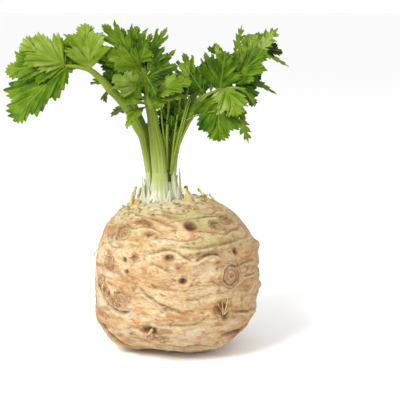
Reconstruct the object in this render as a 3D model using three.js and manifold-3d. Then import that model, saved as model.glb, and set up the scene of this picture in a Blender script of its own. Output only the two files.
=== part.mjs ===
// A celeriac as picked: the swollen root with its scars, ridges and torn leaf bases, the pale crown on top of it,
// and seven leaf stalks with their toothed leaflets. It stands on a small flat spot under the root.
// Millimetres, +Z up, the origin in the middle of the resting spot, and -Y is the side that is seen.
import * as THREE from "three";
import { mergeVertices } from "three/addons/utils/BufferGeometryUtils.js";
import Module from "manifold-3d";

const wasm = await Module();
wasm.setup();

// Driving dimensions
const ROOT_RADIUS = 59.5; // half the width of the swollen root, before its bumps
const ROOT_CENTRE = 52; // height of its widest level above the resting spot
const ROOT_RISE = 57; // from there up to the top of the swelling
const ROOT_DROP = 53.2; // from there down: the last 1.2 mm is cut off as the resting spot
const ROOT_SQUARENESS = 2.5; // superellipse power: 2 is an ellipsoid, more is a squarer shoulder
const ROOT_DETAIL = 12; // icosphere subdivision
const CROWN_BASE = 101.5; // the crown stands in a socket of the root, this high
const CROWN_TOP = 126; // where the stalks part from each other
const CLEARANCE = 0.3; // between pieces that touch
const CROWN_AXIS = { x: -10.8, y: 0.5 };
const BLADE = 0.9; // thickness of a leaf blade, across its face
const STEM_THICK = 1.8; // thickness of a leaflet's stem where it leaves the stalk
const STEM_HALF = 0.8; // half the width of that stem
const STEM_TAPER = 0.15; // share of a leaflet over which its stem thins out into the blade
const CUP = 0.25; // how far a leaflet's edges rise at cup 1, as a share of its width
const WAVE = 0.035; // how far those edges wave up and down, as a share of its width
const STALK_SIDES = 10;
const STALK_STEPS = 7;
const STALK_GROOVE = 0.3; // depth of the channel of a stalk, as a share of its half depth
const RACHIS_SIDES = 6; // the leafy end of a stalk
const RACHIS_STEPS = 6;

// Small helpers
const vec = (p) => new THREE.Vector3(...p);
const lerp = THREE.MathUtils.lerp;
const degrees = THREE.MathUtils.degToRad;
const bell = (distance, radius) => Math.exp(-((distance / radius) ** 2));

// A closed three.js geometry as a solid that can be joined and cut
function solidOf(geometry) {
  const bare = new THREE.BufferGeometry().setAttribute("position", geometry.getAttribute("position"));
  if (geometry.index) bare.setIndex(geometry.index);
  const merged = mergeVertices(bare, 1e-4);
  return new wasm.Manifold(
    new wasm.Mesh({
      numProp: 3,
      vertProperties: new Float32Array(merged.attributes.position.array),
      triVerts: new Uint32Array(merged.index.array),
    }),
  );
}

const joinAll = (solids) => solids.reduce((sum, solid) => sum.add(solid));

// Only the largest skin of a joined solid: where thin pieces cross, a small pocket may be shut in
const larger = (one, other) => (other.volume() > one.volume() ? other : one);
const outerSkin = (solid) => solid.decompose().reduce(larger);

function geometryOf(solid) {
  const mesh = solid.getMesh();
  const geometry = new THREE.BufferGeometry();
  geometry.setAttribute("position", new THREE.BufferAttribute(new Float32Array(mesh.vertProperties), 3));
  geometry.setIndex(new THREE.BufferAttribute(new Uint32Array(mesh.triVerts), 1));
  geometry.computeVertexNormals();
  return geometry;
}

// Vertices and faces as a geometry
function geometryFrom(points, faces) {
  const geometry = new THREE.BufferGeometry();
  geometry.setAttribute("position", new THREE.Float32BufferAttribute(points.flatMap((p) => p.toArray()), 3));
  geometry.setIndex(faces.flat());
  return geometry;
}

// A closed skin through rings of equal count, each end closed by a fan
function loft(rings) {
  const count = rings[0].length;
  const points = rings.flat();
  const faces = [];
  for (let r = 0; r + 1 < rings.length; r++) {
    for (let i = 0; i < count; i++) {
      const a = r * count + i;
      const b = r * count + ((i + 1) % count);
      faces.push([a, b, b + count], [a, b + count, a + count]);
    }
  }
  const middle = (ring) => ring.reduce((sum, p) => sum.add(p), new THREE.Vector3()).divideScalar(count);
  const first = points.push(middle(rings[0])) - 1;
  const last = points.push(middle(rings[rings.length - 1])) - 1;
  const top = (rings.length - 1) * count;
  for (let i = 0; i < count; i++) {
    const next = (i + 1) % count;
    faces.push([first, next, i], [last, top + i, top + next]);
  }
  return geometryFrom(points, faces);
}

// The swollen root

// Marks of its skin: turned that many degrees from the front (to the right is positive), at height z. out is how far
// the mark stands out (or goes in, if negative), and rim is the raised ring round it.
const MARKS = [
  { turn: 13, z: 96, size: 6.0, out: -2.0, rim: 1.2 },
  { turn: -46, z: 90, size: 6.5, out: -1.0, rim: 1.2 },
  { turn: -58, z: 86, size: 6.0, out: 1.4, rim: 0 },
  { turn: -31, z: 96, size: 7.0, out: 1.2, rim: 0 },
  { turn: 37, z: 95, size: 5.5, out: -1.2, rim: 1.0 },
  { turn: 41, z: 62, size: 8.5, out: 1.8, rim: 0.8 },
  { turn: 5, z: 61, size: 5.0, out: -2.2, rim: 0.8 },
  { turn: -63, z: 52, size: 9.0, out: 2.2, rim: 0 },
  { turn: -39, z: 47, size: 8.0, out: 1.8, rim: 0.8 },
  { turn: 32, z: 39, size: 8.0, out: -1.8, rim: 1.4 },
  { turn: -18, z: 25, size: 8.0, out: -1.8, rim: 1.2 },
  { turn: -82, z: 22, size: 34.0, out: 5.5, rim: 0 },
  { turn: -58, z: 8, size: 26.0, out: 4.5, rim: 0 },
  { turn: -72, z: 27, size: 9.0, out: 2.2, rim: 0 },
  { turn: 72, z: 30, size: 10.0, out: 1.6, rim: 0 },
  { turn: 88, z: 74, size: 7.0, out: 1.8, rim: 0 },
  { turn: 100, z: 44, size: 10.0, out: 2.6, rim: 0 },
  { turn: 116, z: 84, size: 6.0, out: -1.6, rim: 1.2 },
  { turn: 128, z: 26, size: 11.0, out: 3.0, rim: 0 },
  { turn: 140, z: 60, size: 8.0, out: 1.8, rim: 1.0 },
  { turn: 160, z: 38, size: 9.0, out: 2.4, rim: 0 },
  { turn: 172, z: 78, size: 7.0, out: -1.6, rim: 1.2 },
  { turn: 186, z: 18, size: 10.0, out: 2.6, rim: 0 },
  { turn: 200, z: 56, size: 9.0, out: 2.0, rim: 0.8 },
  { turn: 222, z: 34, size: 10.0, out: 2.8, rim: 0 },
  { turn: 236, z: 76, size: 7.0, out: 1.6, rim: 0 },
  { turn: 250, z: 52, size: 8.0, out: -1.6, rim: 1.4 },
  { turn: 262, z: 20, size: 10.0, out: 2.4, rim: 0 },
];

// Broad lumps of the swelling, as waves through space: [x, y, z waves per mm, phase, height in mm]
const LUMPS = [
  [0.055, 0.021, 0.03, 0.6, 0.8],
  [-0.032, 0.061, 0.041, 2.1, 0.8],
  [0.02, -0.047, 0.083, 4.0, 0.7],
  [0.094, 0.052, -0.061, 1.2, 0.6],
  [-0.071, 0.093, 0.102, 5.1, 0.6],
];

// Level folds that run round the root and waver: one every FOLD_STEP mm of height
const FOLD_STEP = 12;
const FOLD_HEIGHT = 0.9;

// Distance from the middle of the swelling to its plain surface, in the unit direction d
function plainReach(d) {
  const across = Math.hypot(d.x, d.y) / ROOT_RADIUS;
  const along = Math.abs(d.z) / (d.z > 0 ? ROOT_RISE : ROOT_DROP);
  return (across ** ROOT_SQUARENESS + along ** ROOT_SQUARENESS) ** (-1 / ROOT_SQUARENESS);
}

// The point of the plain surface at a turn from the front and a height
function onRoot(turn, z) {
  const along = Math.abs(z - ROOT_CENTRE) / (z > ROOT_CENTRE ? ROOT_RISE : ROOT_DROP);
  const radius = ROOT_RADIUS * (1 - along ** ROOT_SQUARENESS) ** (1 / ROOT_SQUARENESS);
  return new THREE.Vector3(radius * Math.sin(degrees(turn)), -radius * Math.cos(degrees(turn)), z);
}

// Smaller knobs and dents between those marks, drawn by a seeded rule
const KNOBS = { count: 90, seed: 11, low: 8, high: 96 };

function seededKnobs() {
  let state = KNOBS.seed;
  const draw = (from, to) => {
    state = (state * 16807) % 2147483647;
    return lerp(from, to, state / 2147483647);
  };
  return Array.from({ length: KNOBS.count }, () => ({
    turn: draw(-180, 180),
    z: draw(KNOBS.low, KNOBS.high),
    size: draw(5, 9),
    out: draw(-1.2, 2.0),
    rim: 0,
  }));
}

const markPoints = [...MARKS, ...seededKnobs()].map((mark) => ({ ...mark, at: onRoot(mark.turn, mark.z) }));

// How far the skin stands out from the plain surface at p
function relief(p) {
  let height = 0;
  for (const [x, y, z, phase, size] of LUMPS) height += size * Math.sin(x * p.x + y * p.y + z * p.z + phase);
  const turn = Math.atan2(p.x, -p.y);
  const waver = 2.6 * Math.sin(2 * turn + 0.7) + 1.7 * Math.sin(5 * turn + 2.0);
  const strength = bell(p.z - ROOT_CENTRE, 40) * (0.5 + 0.5 * Math.sin(3 * turn + p.z / 14));
  height += FOLD_HEIGHT * strength * Math.sin((2 * Math.PI * (p.z + waver)) / FOLD_STEP);
  for (const { at, size, out, rim } of markPoints) {
    const away = p.distanceTo(at);
    height += out * bell(away, size * 0.6) + rim * bell(away - size * 0.85, size * 0.35);
  }
  return height;
}

function rootSolid() {
  const geometry = new THREE.IcosahedronGeometry(1, ROOT_DETAIL);
  const position = geometry.getAttribute("position");
  for (let i = 0; i < position.count; i++) {
    const direction = new THREE.Vector3().fromBufferAttribute(position, i).normalize();
    const plain = direction.clone().multiplyScalar(plainReach(direction));
    plain.z += ROOT_CENTRE;
    const skin = plain.addScaledVector(direction, relief(plain));
    position.setXYZ(i, skin.x, skin.y, skin.z);
  }
  const stubs = TORN_STUBS.map((stub) => thinTip(stub, STUB_THICK));
  const whole = joinAll([solidOf(geometry), ...stubs]).trimByPlane([0, 0, 1], 0);
  return outerSkin(whole.subtract(crownSolid(CLEARANCE)));
}

// Torn leaf bases that still stand on the shoulder of the root, dry and narrow: foot, tip, and width of the foot
const STUB_THICK = 1.6;
const TORN_STUBS = [
  { foot: [-33, -5, 101], tip: [-28.5, -4, 118], wide: 5 },
  { foot: [11, -7, 100], tip: [3.5, -5, 116], wide: 8 },
  { foot: [26, -4, 97], tip: [14, 1, 114], wide: 5 },
  { foot: [30, 4, 94], tip: [22, 6, 109], wide: 5 },
  { foot: [-30, 18, 96], tip: [-27, 20, 111], wide: 7 },
  { foot: [8, 20, 97], tip: [6, 22, 112], wide: 8 },
  { foot: [-10, 32, 94], tip: [-11, 30, 108], wide: 6 },
];

// The crown: the pale sheaths at the foot of the stalks, grown together, with the torn tips of outer ones

// Levels of a sheath from its foot to its top: height, how far it stands off the axis, and how far it is swollen
const SHEATH_LEVELS = [
  [CROWN_BASE, 1.6, 2.0],
  [108, 1.4, 1.65],
  [115, 1.14, 1.3],
  [CROWN_TOP, 1, 1],
];

const SHEATH_THICK = 1.2;
const SHEATH_SIDES = 8;
const CORE_SIDES = 12;

// The core that the sheaths stand round: height and radius
const CORE = [
  [CROWN_BASE, 15],
  [108, 13],
  [121, 9],
];

// Foot and tip of each torn sheath, and how wide its foot is
const SHEATH_TIPS = [
  { foot: [-23, -3, 108], tip: [-25.5, -4, 124], wide: 4.5 },
  { foot: [0.5, -4, 112], tip: [2, -4, 132], wide: 3.6 },
  { foot: [-21, 8, 108], tip: [-24, 10, 121], wide: 4.5 },
  { foot: [-2, 12, 108], tip: [0, 15, 123], wide: 5.0 },
];

// The sheaths together, each one grown by the given amount
function crownSolid(grow = 0) {
  const sheaths = Object.values(FRONDS).map(({ line, size, across }) => {
    const [x, y] = line[0];
    const [, wide, deep] = size[0];
    const wideWay = new THREE.Vector3(across[0], across[1], 0).normalize();
    const deepWay = new THREE.Vector3(-wideWay.y, wideWay.x, 0);
    const rings = SHEATH_LEVELS.map(([z, spread, swell], level) => {
      const centre = new THREE.Vector3(lerp(CROWN_AXIS.x, x, spread), lerp(CROWN_AXIS.y, y, spread), z);
      if (level === 0) centre.z -= grow;
      return Array.from({ length: SHEATH_SIDES }, (_, i) => {
        const angle = (2 * Math.PI * i) / SHEATH_SIDES;
        return centre
          .clone()
          .addScaledVector(wideWay, (wide * swell + grow) * Math.cos(angle))
          .addScaledVector(deepWay, (deep * swell + grow) * Math.sin(angle));
      });
    });
    return solidOf(loft(rings));
  });
  const core = CORE.map(([z, radius], level) =>
    Array.from({ length: CORE_SIDES }, (_, i) => {
      const angle = (2 * Math.PI * i) / CORE_SIDES;
      const out = radius + grow;
      const x = CROWN_AXIS.x + out * Math.cos(angle);
      return new THREE.Vector3(x, CROWN_AXIS.y + 0.9 * out * Math.sin(angle), level === 0 ? z - grow : z);
    }),
  );
  return outerSkin(joinAll([solidOf(loft(core)), ...sheaths]));
}

const crownWithTips = () => joinAll([crownSolid(), ...SHEATH_TIPS.map((tip) => thinTip(tip, SHEATH_THICK))]);

// A torn, dry tip: a thin tongue that narrows upwards
function thinTip({ foot, tip, wide }, thick) {
  const from = vec(foot);
  const to = vec(tip);
  const middle = from.clone().lerp(to, 0.5).add(new THREE.Vector3(0, 0, 1.5));
  const curve = new THREE.QuadraticBezierCurve3(from, middle, to);
  const across = new THREE.Vector3(CROWN_AXIS.y - from.y, from.x - CROWN_AXIS.x, 0).normalize();
  const size = (t) => [lerp(wide / 2, 0.5, t), lerp(thick, 0.5, t)];
  return solidOf(loft(tubeRings(curve, 4, 6, size, across)));
}

// Leaf stalks

// Rings of a tube along a curve. size(t) gives half the width along `across` and half the depth square to it, and
// groove is how deep the channel is on the side that faces +depth.
function tubeRings(curve, steps, sides, size, across, groove = 0, from = 0, to = 1) {
  const rings = [];
  for (let s = 0; s <= steps; s++) {
    const t = lerp(from, to, s / steps);
    const centre = curve.getPointAt(t);
    const along = curve.getTangentAt(t);
    const wideWay = across.clone().addScaledVector(along, -across.dot(along)).normalize();
    const deepWay = new THREE.Vector3().crossVectors(along, wideWay);
    const [wide, deep] = size(t);
    const ring = [];
    for (let i = 0; i < sides; i++) {
      const angle = (2 * Math.PI * i) / sides;
      const channel = 1 - groove * bell(angle - Math.PI / 2, 0.7);
      const right = wide * Math.cos(angle);
      const back = deep * channel * Math.sin(angle);
      ring.push(centre.clone().addScaledVector(wideWay, right).addScaledVector(deepWay, back));
    }
    rings.push(ring);
  }
  return rings;
}

// Leaflets

// The cut outline of a leaflet. rib holds the shares of its length at which the midrib bends, and edge the points
// of half its outline from base to tip: share of the length, and share of the half width.
const OUTLINES = {
  broad: {
    rib: [0, 0.25, 0.36, 0.5, 0.66, 0.82, 1],
    edge: [
      [0, 0.06], [0.2, 0.15], [0.33, 0.62], [0.42, 0.58], [0.56, 1], [0.62, 0.66], [0.76, 0.86], [0.76, 0.42],
      [0.9, 0.46], [0.9, 0.2],
    ],
  },
  fan: {
    rib: [0, 0.16, 0.27, 0.4, 0.58, 0.78, 1],
    edge: [
      [0, 0.06], [0.12, 0.14], [0.22, 0.6], [0.31, 0.56], [0.46, 1], [0.53, 0.74], [0.69, 0.96], [0.71, 0.56],
      [0.87, 0.6], [0.88, 0.28],
    ],
  },
  lobed: {
    rib: [0, 0.34, 0.48, 0.62, 0.8, 1],
    edge: [
      [0, 0.06], [0.28, 0.16], [0.42, 0.56], [0.6, 1], [0.62, 0.5], [0.76, 0.72], [0.74, 0.34], [0.88, 0.38],
      [0.9, 0.16],
    ],
  },
  feathery: {
    rib: [0, 0.26, 0.4, 0.6, 0.82, 1],
    edge: [
      [0, 0.14], [0.2, 0.2], [0.42, 1], [0.44, 0.3], [0.66, 0.9], [0.66, 0.24], [0.86, 0.55], [0.86, 0.18],
    ],
  },
};

// A leaflet as one thin closed blade with its short stem: a sheet between its midrib and its two edges, the same on
// top and underneath. It goes from the stalk to the tip, and its first share, bare, is the stem.
function leafletSolid(start, { tip, wide, face, kind, arch, cup, bare }) {
  const end = vec(tip);
  const along = end.clone().sub(start).normalize();
  const up = vec(face).addScaledVector(along, -vec(face).dot(along)).normalize();
  const across = new THREE.Vector3().crossVectors(up, along);
  const bend = start.clone().lerp(end, 0.5).addScaledVector(up, 2 * arch);
  const curve = new THREE.QuadraticBezierCurve3(start, bend, end);
  const { rib, edge } = OUTLINES[kind];
  const onBlade = (t) => lerp(bare, 1, t);
  const stations = [0, ...rib.map(onBlade)];
  const bladeEdge = edge.map(([t, share]) => [onBlade(t), Math.max(STEM_HALF, (share * wide) / 2)]);
  const halfOutline = [[0, STEM_HALF], ...bladeEdge];
  const tipIndex = stations.length - 1;
  const ribOf = [0, ...edge.map((_, i) => 1 + Math.round((i / edge.length) * (rib.length - 1))), tipIndex];

  const sheet = stations.map((t) => ({ t, at: curve.getPoint(t) }));
  const triangles = [];
  const edges = [1, -1].map((side) => {
    const line = halfOutline.map(([t, out], i) => {
      const share = (2 * out) / wide;
      const lift = share > 0.2 ? wide * (CUP * cup * share ** 2 + WAVE * share * Math.sin(2.4 * i + side)) : 0;
      const at = curve.getPoint(t).addScaledVector(across, side * out).addScaledVector(up, lift);
      return sheet.push({ t, at }) - 1;
    });
    line.push(tipIndex);
    const add = (a, b, c) => triangles.push(side > 0 ? [a, b, c] : [a, c, b]);
    for (let i = 0; i + 1 < line.length; i++) {
      add(ribOf[i], line[i + 1], line[i]);
      for (let r = ribOf[i]; r < ribOf[i + 1] && r + 1 !== line[i + 1]; r++) add(r, r + 1, line[i + 1]);
    }
    return line;
  });

  const count = sheet.length;
  const halfThick = (t) => lerp(STEM_THICK, BLADE, Math.min(1, t / (bare + STEM_TAPER))) / 2;
  const skinAt = (sign) => sheet.map(({ t, at }) => at.clone().addScaledVector(up, sign * halfThick(t)));
  const faces = triangles.flatMap(([a, b, c]) => [[a, b, c], [a + count, c + count, b + count]]);
  const rim = [0, ...edges[0], ...edges[1].slice(0, -1).reverse()];
  rim.forEach((a, i) => {
    const b = rim[(i + 1) % rim.length];
    faces.push([a, b, b + count], [a, b + count, a + count]);
  });
  return solidOf(geometryFrom([...skinAt(1), ...skinAt(-1)], faces));
}

// Each leaflet: where it leaves the stalk (share of the stalk's length), its tip, its width, the way its face looks,
// its outline, how far the midrib arches, how its edges cup, and the share of its length that is bare stem.
const leaflet = (at, tip, wide, face, kind = "broad", arch = 2, cup = 0.3, bare = 0.12) => ({
  at, tip, wide, face, kind, arch, cup, bare,
});

const FRONT = [0, -1, 0.3];

// Each frond: the line of its stalk from the crown to its end, its half width and half depth at shares of that
// line, the side that its width lies on, the share of the line where the leafy part begins, and its leaflets.
const FRONDS = {
  left: {
    line: [
      [-19.7, -2, 126.3], [-22, -2, 144], [-24, -4, 154], [-27, -5, 160], [-32, -6, 170], [-37, -7, 177],
      [-41, -8, 182], [-46, -10, 187], [-50, -11, 192], [-54, -12, 196], [-59, -14, 200.5], [-64, -15, 202.5],
      [-70, -16, 203.5], [-76, -17, 204],
    ],
    size: [[0, 2.4, 3.4], [0.35, 3.6, 2.8], [0.65, 2.9, 2.3], [0.85, 1.8, 1.6], [1, 1.2, 1.1]],
    across: [1, 0.2, 0.4],
    leafy: 0.64,
    leaflets: [
      leaflet(1.0, [-103, -23, 222], 36, [-0.2, -1, 0.3], "fan", 3, 0.3, 0.05),
      leaflet(1.0, [-117, -20, 200.5], 22, [0, -0.8, 0.6], "lobed", 3, 0.2),
      leaflet(0.98, [-110, -33, 168], 40, [-0.1, -0.9, 0.45], "fan", 5, 0.3, 0.05),
      leaflet(0.86, [-63, -19, 232], 27, FRONT, "fan", 2, 0.4, 0.05),
      leaflet(0.86, [-75, -3, 218], 13, [-0.7, -0.5, 0.3], "lobed", 2, 0.5),
      leaflet(0.93, [-81, -6, 195], 9, [0, 0.4, 0.9], "lobed", 2, 0.3),
      leaflet(0.66, [-50, 4, 177], 10, [-0.6, 0, 0.7], "lobed", 2, 0.3),
    ],
  },
  centre: {
    line: [
      [-12, -6.5, 126.3], [-13.5, -8, 144], [-15, -8.5, 155], [-16, -9, 160], [-17, -9, 169], [-19, -9, 178],
      [-20.5, -8, 187], [-21.5, -8, 194], [-24, -7, 201], [-28, -6, 206],
    ],
    size: [[0, 5.3, 3.6], [0.25, 5.1, 3.4], [0.4, 4.1, 3.0], [0.65, 3.2, 2.5], [0.85, 1.9, 1.7], [1, 1.2, 1.2]],
    across: [1, 0, 0],
    leafy: 0.58,
    leaflets: [
      leaflet(1.0, [-48, -13, 231], 22, [-0.1, -1, 0.3], "fan", 2, 0.3, 0.08),
      leaflet(1.0, [-26, 2, 230], 17, [0, -1, 0.1], "fan", 1, 0.3, 0.08),
      leaflet(0.97, [-6, -12, 229], 16, [0.4, -0.9, -0.2], "broad", 2, 0.5),
      leaflet(0.96, [-20, -17, 220], 13, [0.1, -1, 0.4], "broad", 1, 0.3),
      leaflet(0.87, [-8, -12, 217], 12, [0.3, -1, 0.2], "broad", 1, 0.2),
      leaflet(0.85, [0, -8, 215], 6.5, [0.4, -1, 0.2], "lobed", 1, 0.2),
      leaflet(0.83, [1, -13, 204], 12, [0.2, -0.8, 0.6], "broad", 3, 0.2),
      leaflet(0.91, [-47, -18, 212], 19, [-0.2, -0.9, 0.4], "fan", 3, 0.4),
      leaflet(0.88, [-48, -12, 204], 11, [-0.2, -0.6, 0.8], "lobed", 3, 0.3),
      leaflet(0.74, [-43, -25, 197], 20, [-0.1, -1, -0.1], "broad", 2, 0.5, 0.25),
      leaflet(0.79, [-32, -20, 200], 13, [0.2, -1, 0], "broad", 2, 0.4, 0.2),
      leaflet(0.83, [-14, -20, 184], 14, [0.1, -0.9, 0.4], "broad", 6, 0.3, 0.2),
      leaflet(0.68, [11, -19, 193], 17, [0.1, -0.8, 0.6], "broad", 3, 0.4, 0.15),
      leaflet(0.64, [9, -18, 183], 11, [0.1, -0.7, 0.7], "lobed", 2, 0.2, 0.15),
      leaflet(0.6, [-34, -25, 161], 13, [-0.4, -0.7, 0.5], "lobed", 5, 0.5, 0.15),
      leaflet(0.61, [-36, -23, 177], 12, [0, -0.5, 0.85], "broad", 2, 0.9, 0.15),
    ],
  },
  right: {
    line: [
      [-2.3, -3.5, 126.3], [-0.5, -4, 144], [1.5, -5, 154], [5, -6, 160], [8, -7, 167], [11, -8, 173],
      [14, -9, 177], [19, -10, 181.5], [26, -10, 184.5], [32, -9, 188], [39, -7, 193], [45, -6, 198],
      [52, -4, 203],
    ],
    size: [[0, 1.9, 3.0], [0.2, 2.0, 2.8], [0.35, 2.9, 2.4], [0.55, 2.6, 2.2], [0.7, 1.6, 1.5], [1, 0.9, 0.9]],
    across: [1, 0, -0.4],
    leafy: 0.57,
    leaflets: [
      leaflet(0.71, [30, -21, 152], 31, [0, -1, 0.15], "fan", 2, 0.3, 0.05),
      leaflet(0.76, [42, -26, 170], 23, [0.2, -0.9, 0.3], "fan", 4, -0.3, 0.05),
      leaflet(0.73, [34, -15, 214], 25, FRONT, "fan", 1, 0.3, 0.06),
      leaflet(0.71, [20, -5, 212], 14, [-0.1, -1, 0], "lobed", 1, 0.3, 0.08),
      leaflet(0.585, [5, -2, 212], 17, [-0.1, -1, 0.2], "fan", 1, 0.2, 0.3),
      leaflet(0.62, [10, -14, 199], 12, [0, -1, 0.3], "broad", 1, 0.3, 0.15),
      leaflet(0.86, [55, -15, 176], 15, [0.3, -0.9, 0.2], "broad", 2, 0.3, 0.08),
      leaflet(0.87, [70, -12, 184], 7, [0.1, -0.5, 0.9], "lobed", 2, 0.3, 0.15),
      leaflet(0.88, [59, -2, 189], 11, [0.1, -0.8, 0.5], "broad", 2, 0.3, 0.1),
      leaflet(0.9, [64, -15, 211], 26, [0, -0.9, 0.4], "fan", 2, 0.4, 0.05),
      leaflet(0.97, [56, -2, 225], 15, [0, -1, 0], "broad", 1, 0.3, 0.1),
      leaflet(0.92, [45, 1, 218], 14, [0, -1, 0], "broad", 1, 0.3, 0.1),
      leaflet(0.82, [51, -7, 149], 10, [0, -1, 0.1], "feathery", 2, 0.2, 0.5),
      leaflet(0.8, [48, -9, 165], 9, [0.2, -1, 0], "broad", 1, 0.2, 0.3),
      leaflet(0.79, [28, 4, 219], 6, [0, -1, 0], "feathery", 1, 0.2, 0.45),
    ],
  },
  inner: {
    line: [
      [-5.6, 1, 126.3], [-5, 2, 143], [-4, 2, 150], [-4, 2, 157], [-3, 1, 165], [0, 1, 172], [4, 3, 180],
    ],
    size: [[0, 1.4, 1.6], [1, 0.8, 0.8]],
    across: [1, 0, 0],
    leafy: 0.5,
    leaflets: [
      leaflet(0.56, [-10, -2, 177], 9, [-0.5, -0.8, 0.2], "broad", 1, 0.8, 0.1),
      leaflet(0.66, [-9, 5, 181], 10, [-0.2, -0.9, 0.2], "broad", 1, 0.3, 0.1),
      leaflet(1.0, [14, 5, 193], 12, [0, -0.9, 0.5], "broad", 2, 0.3, 0.1),
      leaflet(1.0, [-1, 5, 196], 13, [-0.2, -0.9, 0.3], "fan", 1, 0.3, 0.1),
    ],
  },
  back_left: {
    line: [
      [-16.5, 6, 126.3], [-18, 7, 137], [-21, 9, 149], [-25, 10, 160], [-30, 12, 172], [-35, 13, 184],
      [-40, 14, 195],
    ],
    size: [[0, 3.7, 2.9], [0.5, 2.9, 2.4], [1, 1.3, 1.2]],
    across: [-0.9, -0.3, 0],
    leafy: 0.56,
    leaflets: [
      leaflet(1.0, [-60, 8, 217], 17, [-0.4, -0.5, 0.7], "fan", 2, 0.3),
      leaflet(1.0, [-46, 34, 215], 20, [-0.3, 0.5, 0.8], "fan", 3, 0.3),
      leaflet(1.0, [-31, 18, 218], 16, [0.2, 0.6, 0.6], "broad", 1, 0.3),
      leaflet(0.82, [-63, 28, 188], 19, [-0.3, 0.4, 0.9], "fan", 4, 0.3),
      leaflet(0.82, [-26, 38, 197], 17, [0.2, 0.6, 0.8], "fan", 3, 0.3),
      leaflet(0.62, [-49, 32, 164], 13, [-0.2, 0.6, 0.7], "lobed", 4, 0.3),
    ],
  },
  back_right: {
    line: [
      [-4.5, 7.5, 126.3], [-3, 9, 140], [1, 12, 155], [6, 16, 168], [13, 20, 182], [23, 24, 195], [36, 26, 205],
      [49, 26, 211], [57, 25, 213],
    ],
    size: [[0, 3.7, 2.9], [0.45, 2.9, 2.4], [0.7, 1.9, 1.7], [1, 0.9, 0.9]],
    across: [-0.9, 0.3, 0],
    leafy: 0.52,
    leaflets: [
      leaflet(1.0, [73, 22, 229], 15, [0.3, -0.8, 0.3], "feathery", 2, 0.3, 0.05),
      leaflet(1.0, [77, 33, 211], 14, [0.5, -0.5, 0.6], "broad", 2, 0.3),
      leaflet(0.95, [81, 22, 201], 10, [0.3, -0.6, 0.7], "feathery", 3, 0.3, 0.2),
      leaflet(0.95, [62, 46, 224], 17, [0.2, 0.6, 0.7], "fan", 3, 0.3),
      leaflet(0.86, [47, 24, 231], 8, [0, -1, 0.2], "feathery", 1, 0.3),
      leaflet(0.84, [53, 53, 203], 20, [0.2, 0.7, 0.7], "fan", 4, 0.3),
      leaflet(0.68, [36, 49, 178], 20, [0.2, 0.9, 0.4], "fan", 4, 0.3),
      leaflet(0.58, [1, 40, 193], 14, [-0.3, 0.7, 0.6], "broad", 2, 0.3),
    ],
  },
  back: {
    line: [
      [-11, 12, 126.3], [-11, 15, 137], [-10, 20, 149], [-9, 27, 160], [-7, 35, 170], [-5, 42, 178],
    ],
    size: [[0, 3.0, 2.2], [1, 1.2, 1.2]],
    across: [-1, 0, 0],
    leafy: 0.56,
    leaflets: [
      leaflet(1.0, [2, 65, 192], 20, [0.1, -0.3, 0.9], "fan", 3, 0.3),
      leaflet(1.0, [-22, 60, 190], 17, [-0.2, -0.2, 0.9], "fan", 3, 0.3),
      leaflet(1.0, [20, 54, 186], 17, [0.3, -0.2, 0.9], "broad", 3, 0.3),
      leaflet(0.82, [-31, 46, 176], 16, [-0.3, 0.2, 0.9], "fan", 3, 0.3),
      leaflet(0.82, [16, 47, 163], 16, [0.3, 0.3, 0.9], "fan", 4, 0.3),
      leaflet(0.62, [-26, 41, 148], 12, [-0.3, 0.4, 0.8], "lobed", 4, 0.3),
    ],
  },
};

// Half width and half depth of a stalk at share t of its line, straight between the listed ones
const stalkSize = ({ size }) => (t) => {
  const next = Math.max(1, size.findIndex(([share]) => share >= t));
  const [from, wide, deep] = size[next - 1];
  const [to, wideTo, deepTo] = size[next];
  const share = (t - from) / (to - from);
  return [lerp(wide, wideTo, share), lerp(deep, deepTo, share)];
};

const stalkLine = (frond) => new THREE.CatmullRomCurve3(frond.line.map(vec));

// The bare lower part of a stalk, channelled on the side that faces the middle of the plant, with a level foot
function stalkSolid(frond) {
  const line = stalkLine(frond);
  const top = frond.leafy - CLEARANCE / line.getLength();
  const rings = tubeRings(line, STALK_STEPS, STALK_SIDES, stalkSize(frond), vec(frond.across), STALK_GROOVE, 0, top);
  rings[0].forEach((p) => p.setZ(frond.line[0][2]));
  return solidOf(loft(rings));
}

// The leafy upper part: the thin end of the stalk with its leaflets, in one body
function leafSolid(frond) {
  const line = stalkLine(frond);
  const rings = tubeRings(line, RACHIS_STEPS, RACHIS_SIDES, stalkSize(frond), vec(frond.across), 0, frond.leafy);
  const leaflets = frond.leaflets.map((leaf) => leafletSolid(line.getPointAt(leaf.at), leaf));
  return outerSkin(joinAll([solidOf(loft(rings)), ...leaflets]));
}

// The whole plant

const finish = (color, roughness) => new THREE.MeshStandardMaterial({ color, roughness, metalness: 0 });
const materials = {
  root: finish(0xd9bd8c, 0.75),
  crown: finish(0xdfe3bd, 0.55),
  stalk: finish(0xa3b950, 0.5),
  leaf: finish(0x4f8a1f, 0.5),
};

// A named mesh with its own origin at a point of the plant, inside a group whose origin is `from`
function piece(name, solid, material, origin, from = new THREE.Vector3()) {
  const mesh = new THREE.Mesh(geometryOf(solid).translate(-origin.x, -origin.y, -origin.z), material);
  mesh.name = name;
  mesh.position.copy(origin).sub(from);
  return mesh;
}

// A stalk with its leafy end, in a group that stands where the stalk leaves the crown
function frondGroup(name, frond) {
  const group = new THREE.Group();
  const foot = vec(frond.line[0]);
  const leafStart = stalkLine(frond).getPointAt(frond.leafy);
  group.position.copy(foot);
  group.add(piece(`stalk_${name}`, stalkSolid(frond), materials.stalk, foot, foot));
  group.add(piece(`leaf_${name}`, leafSolid(frond), materials.leaf, leafStart, foot));
  return group;
}

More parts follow.
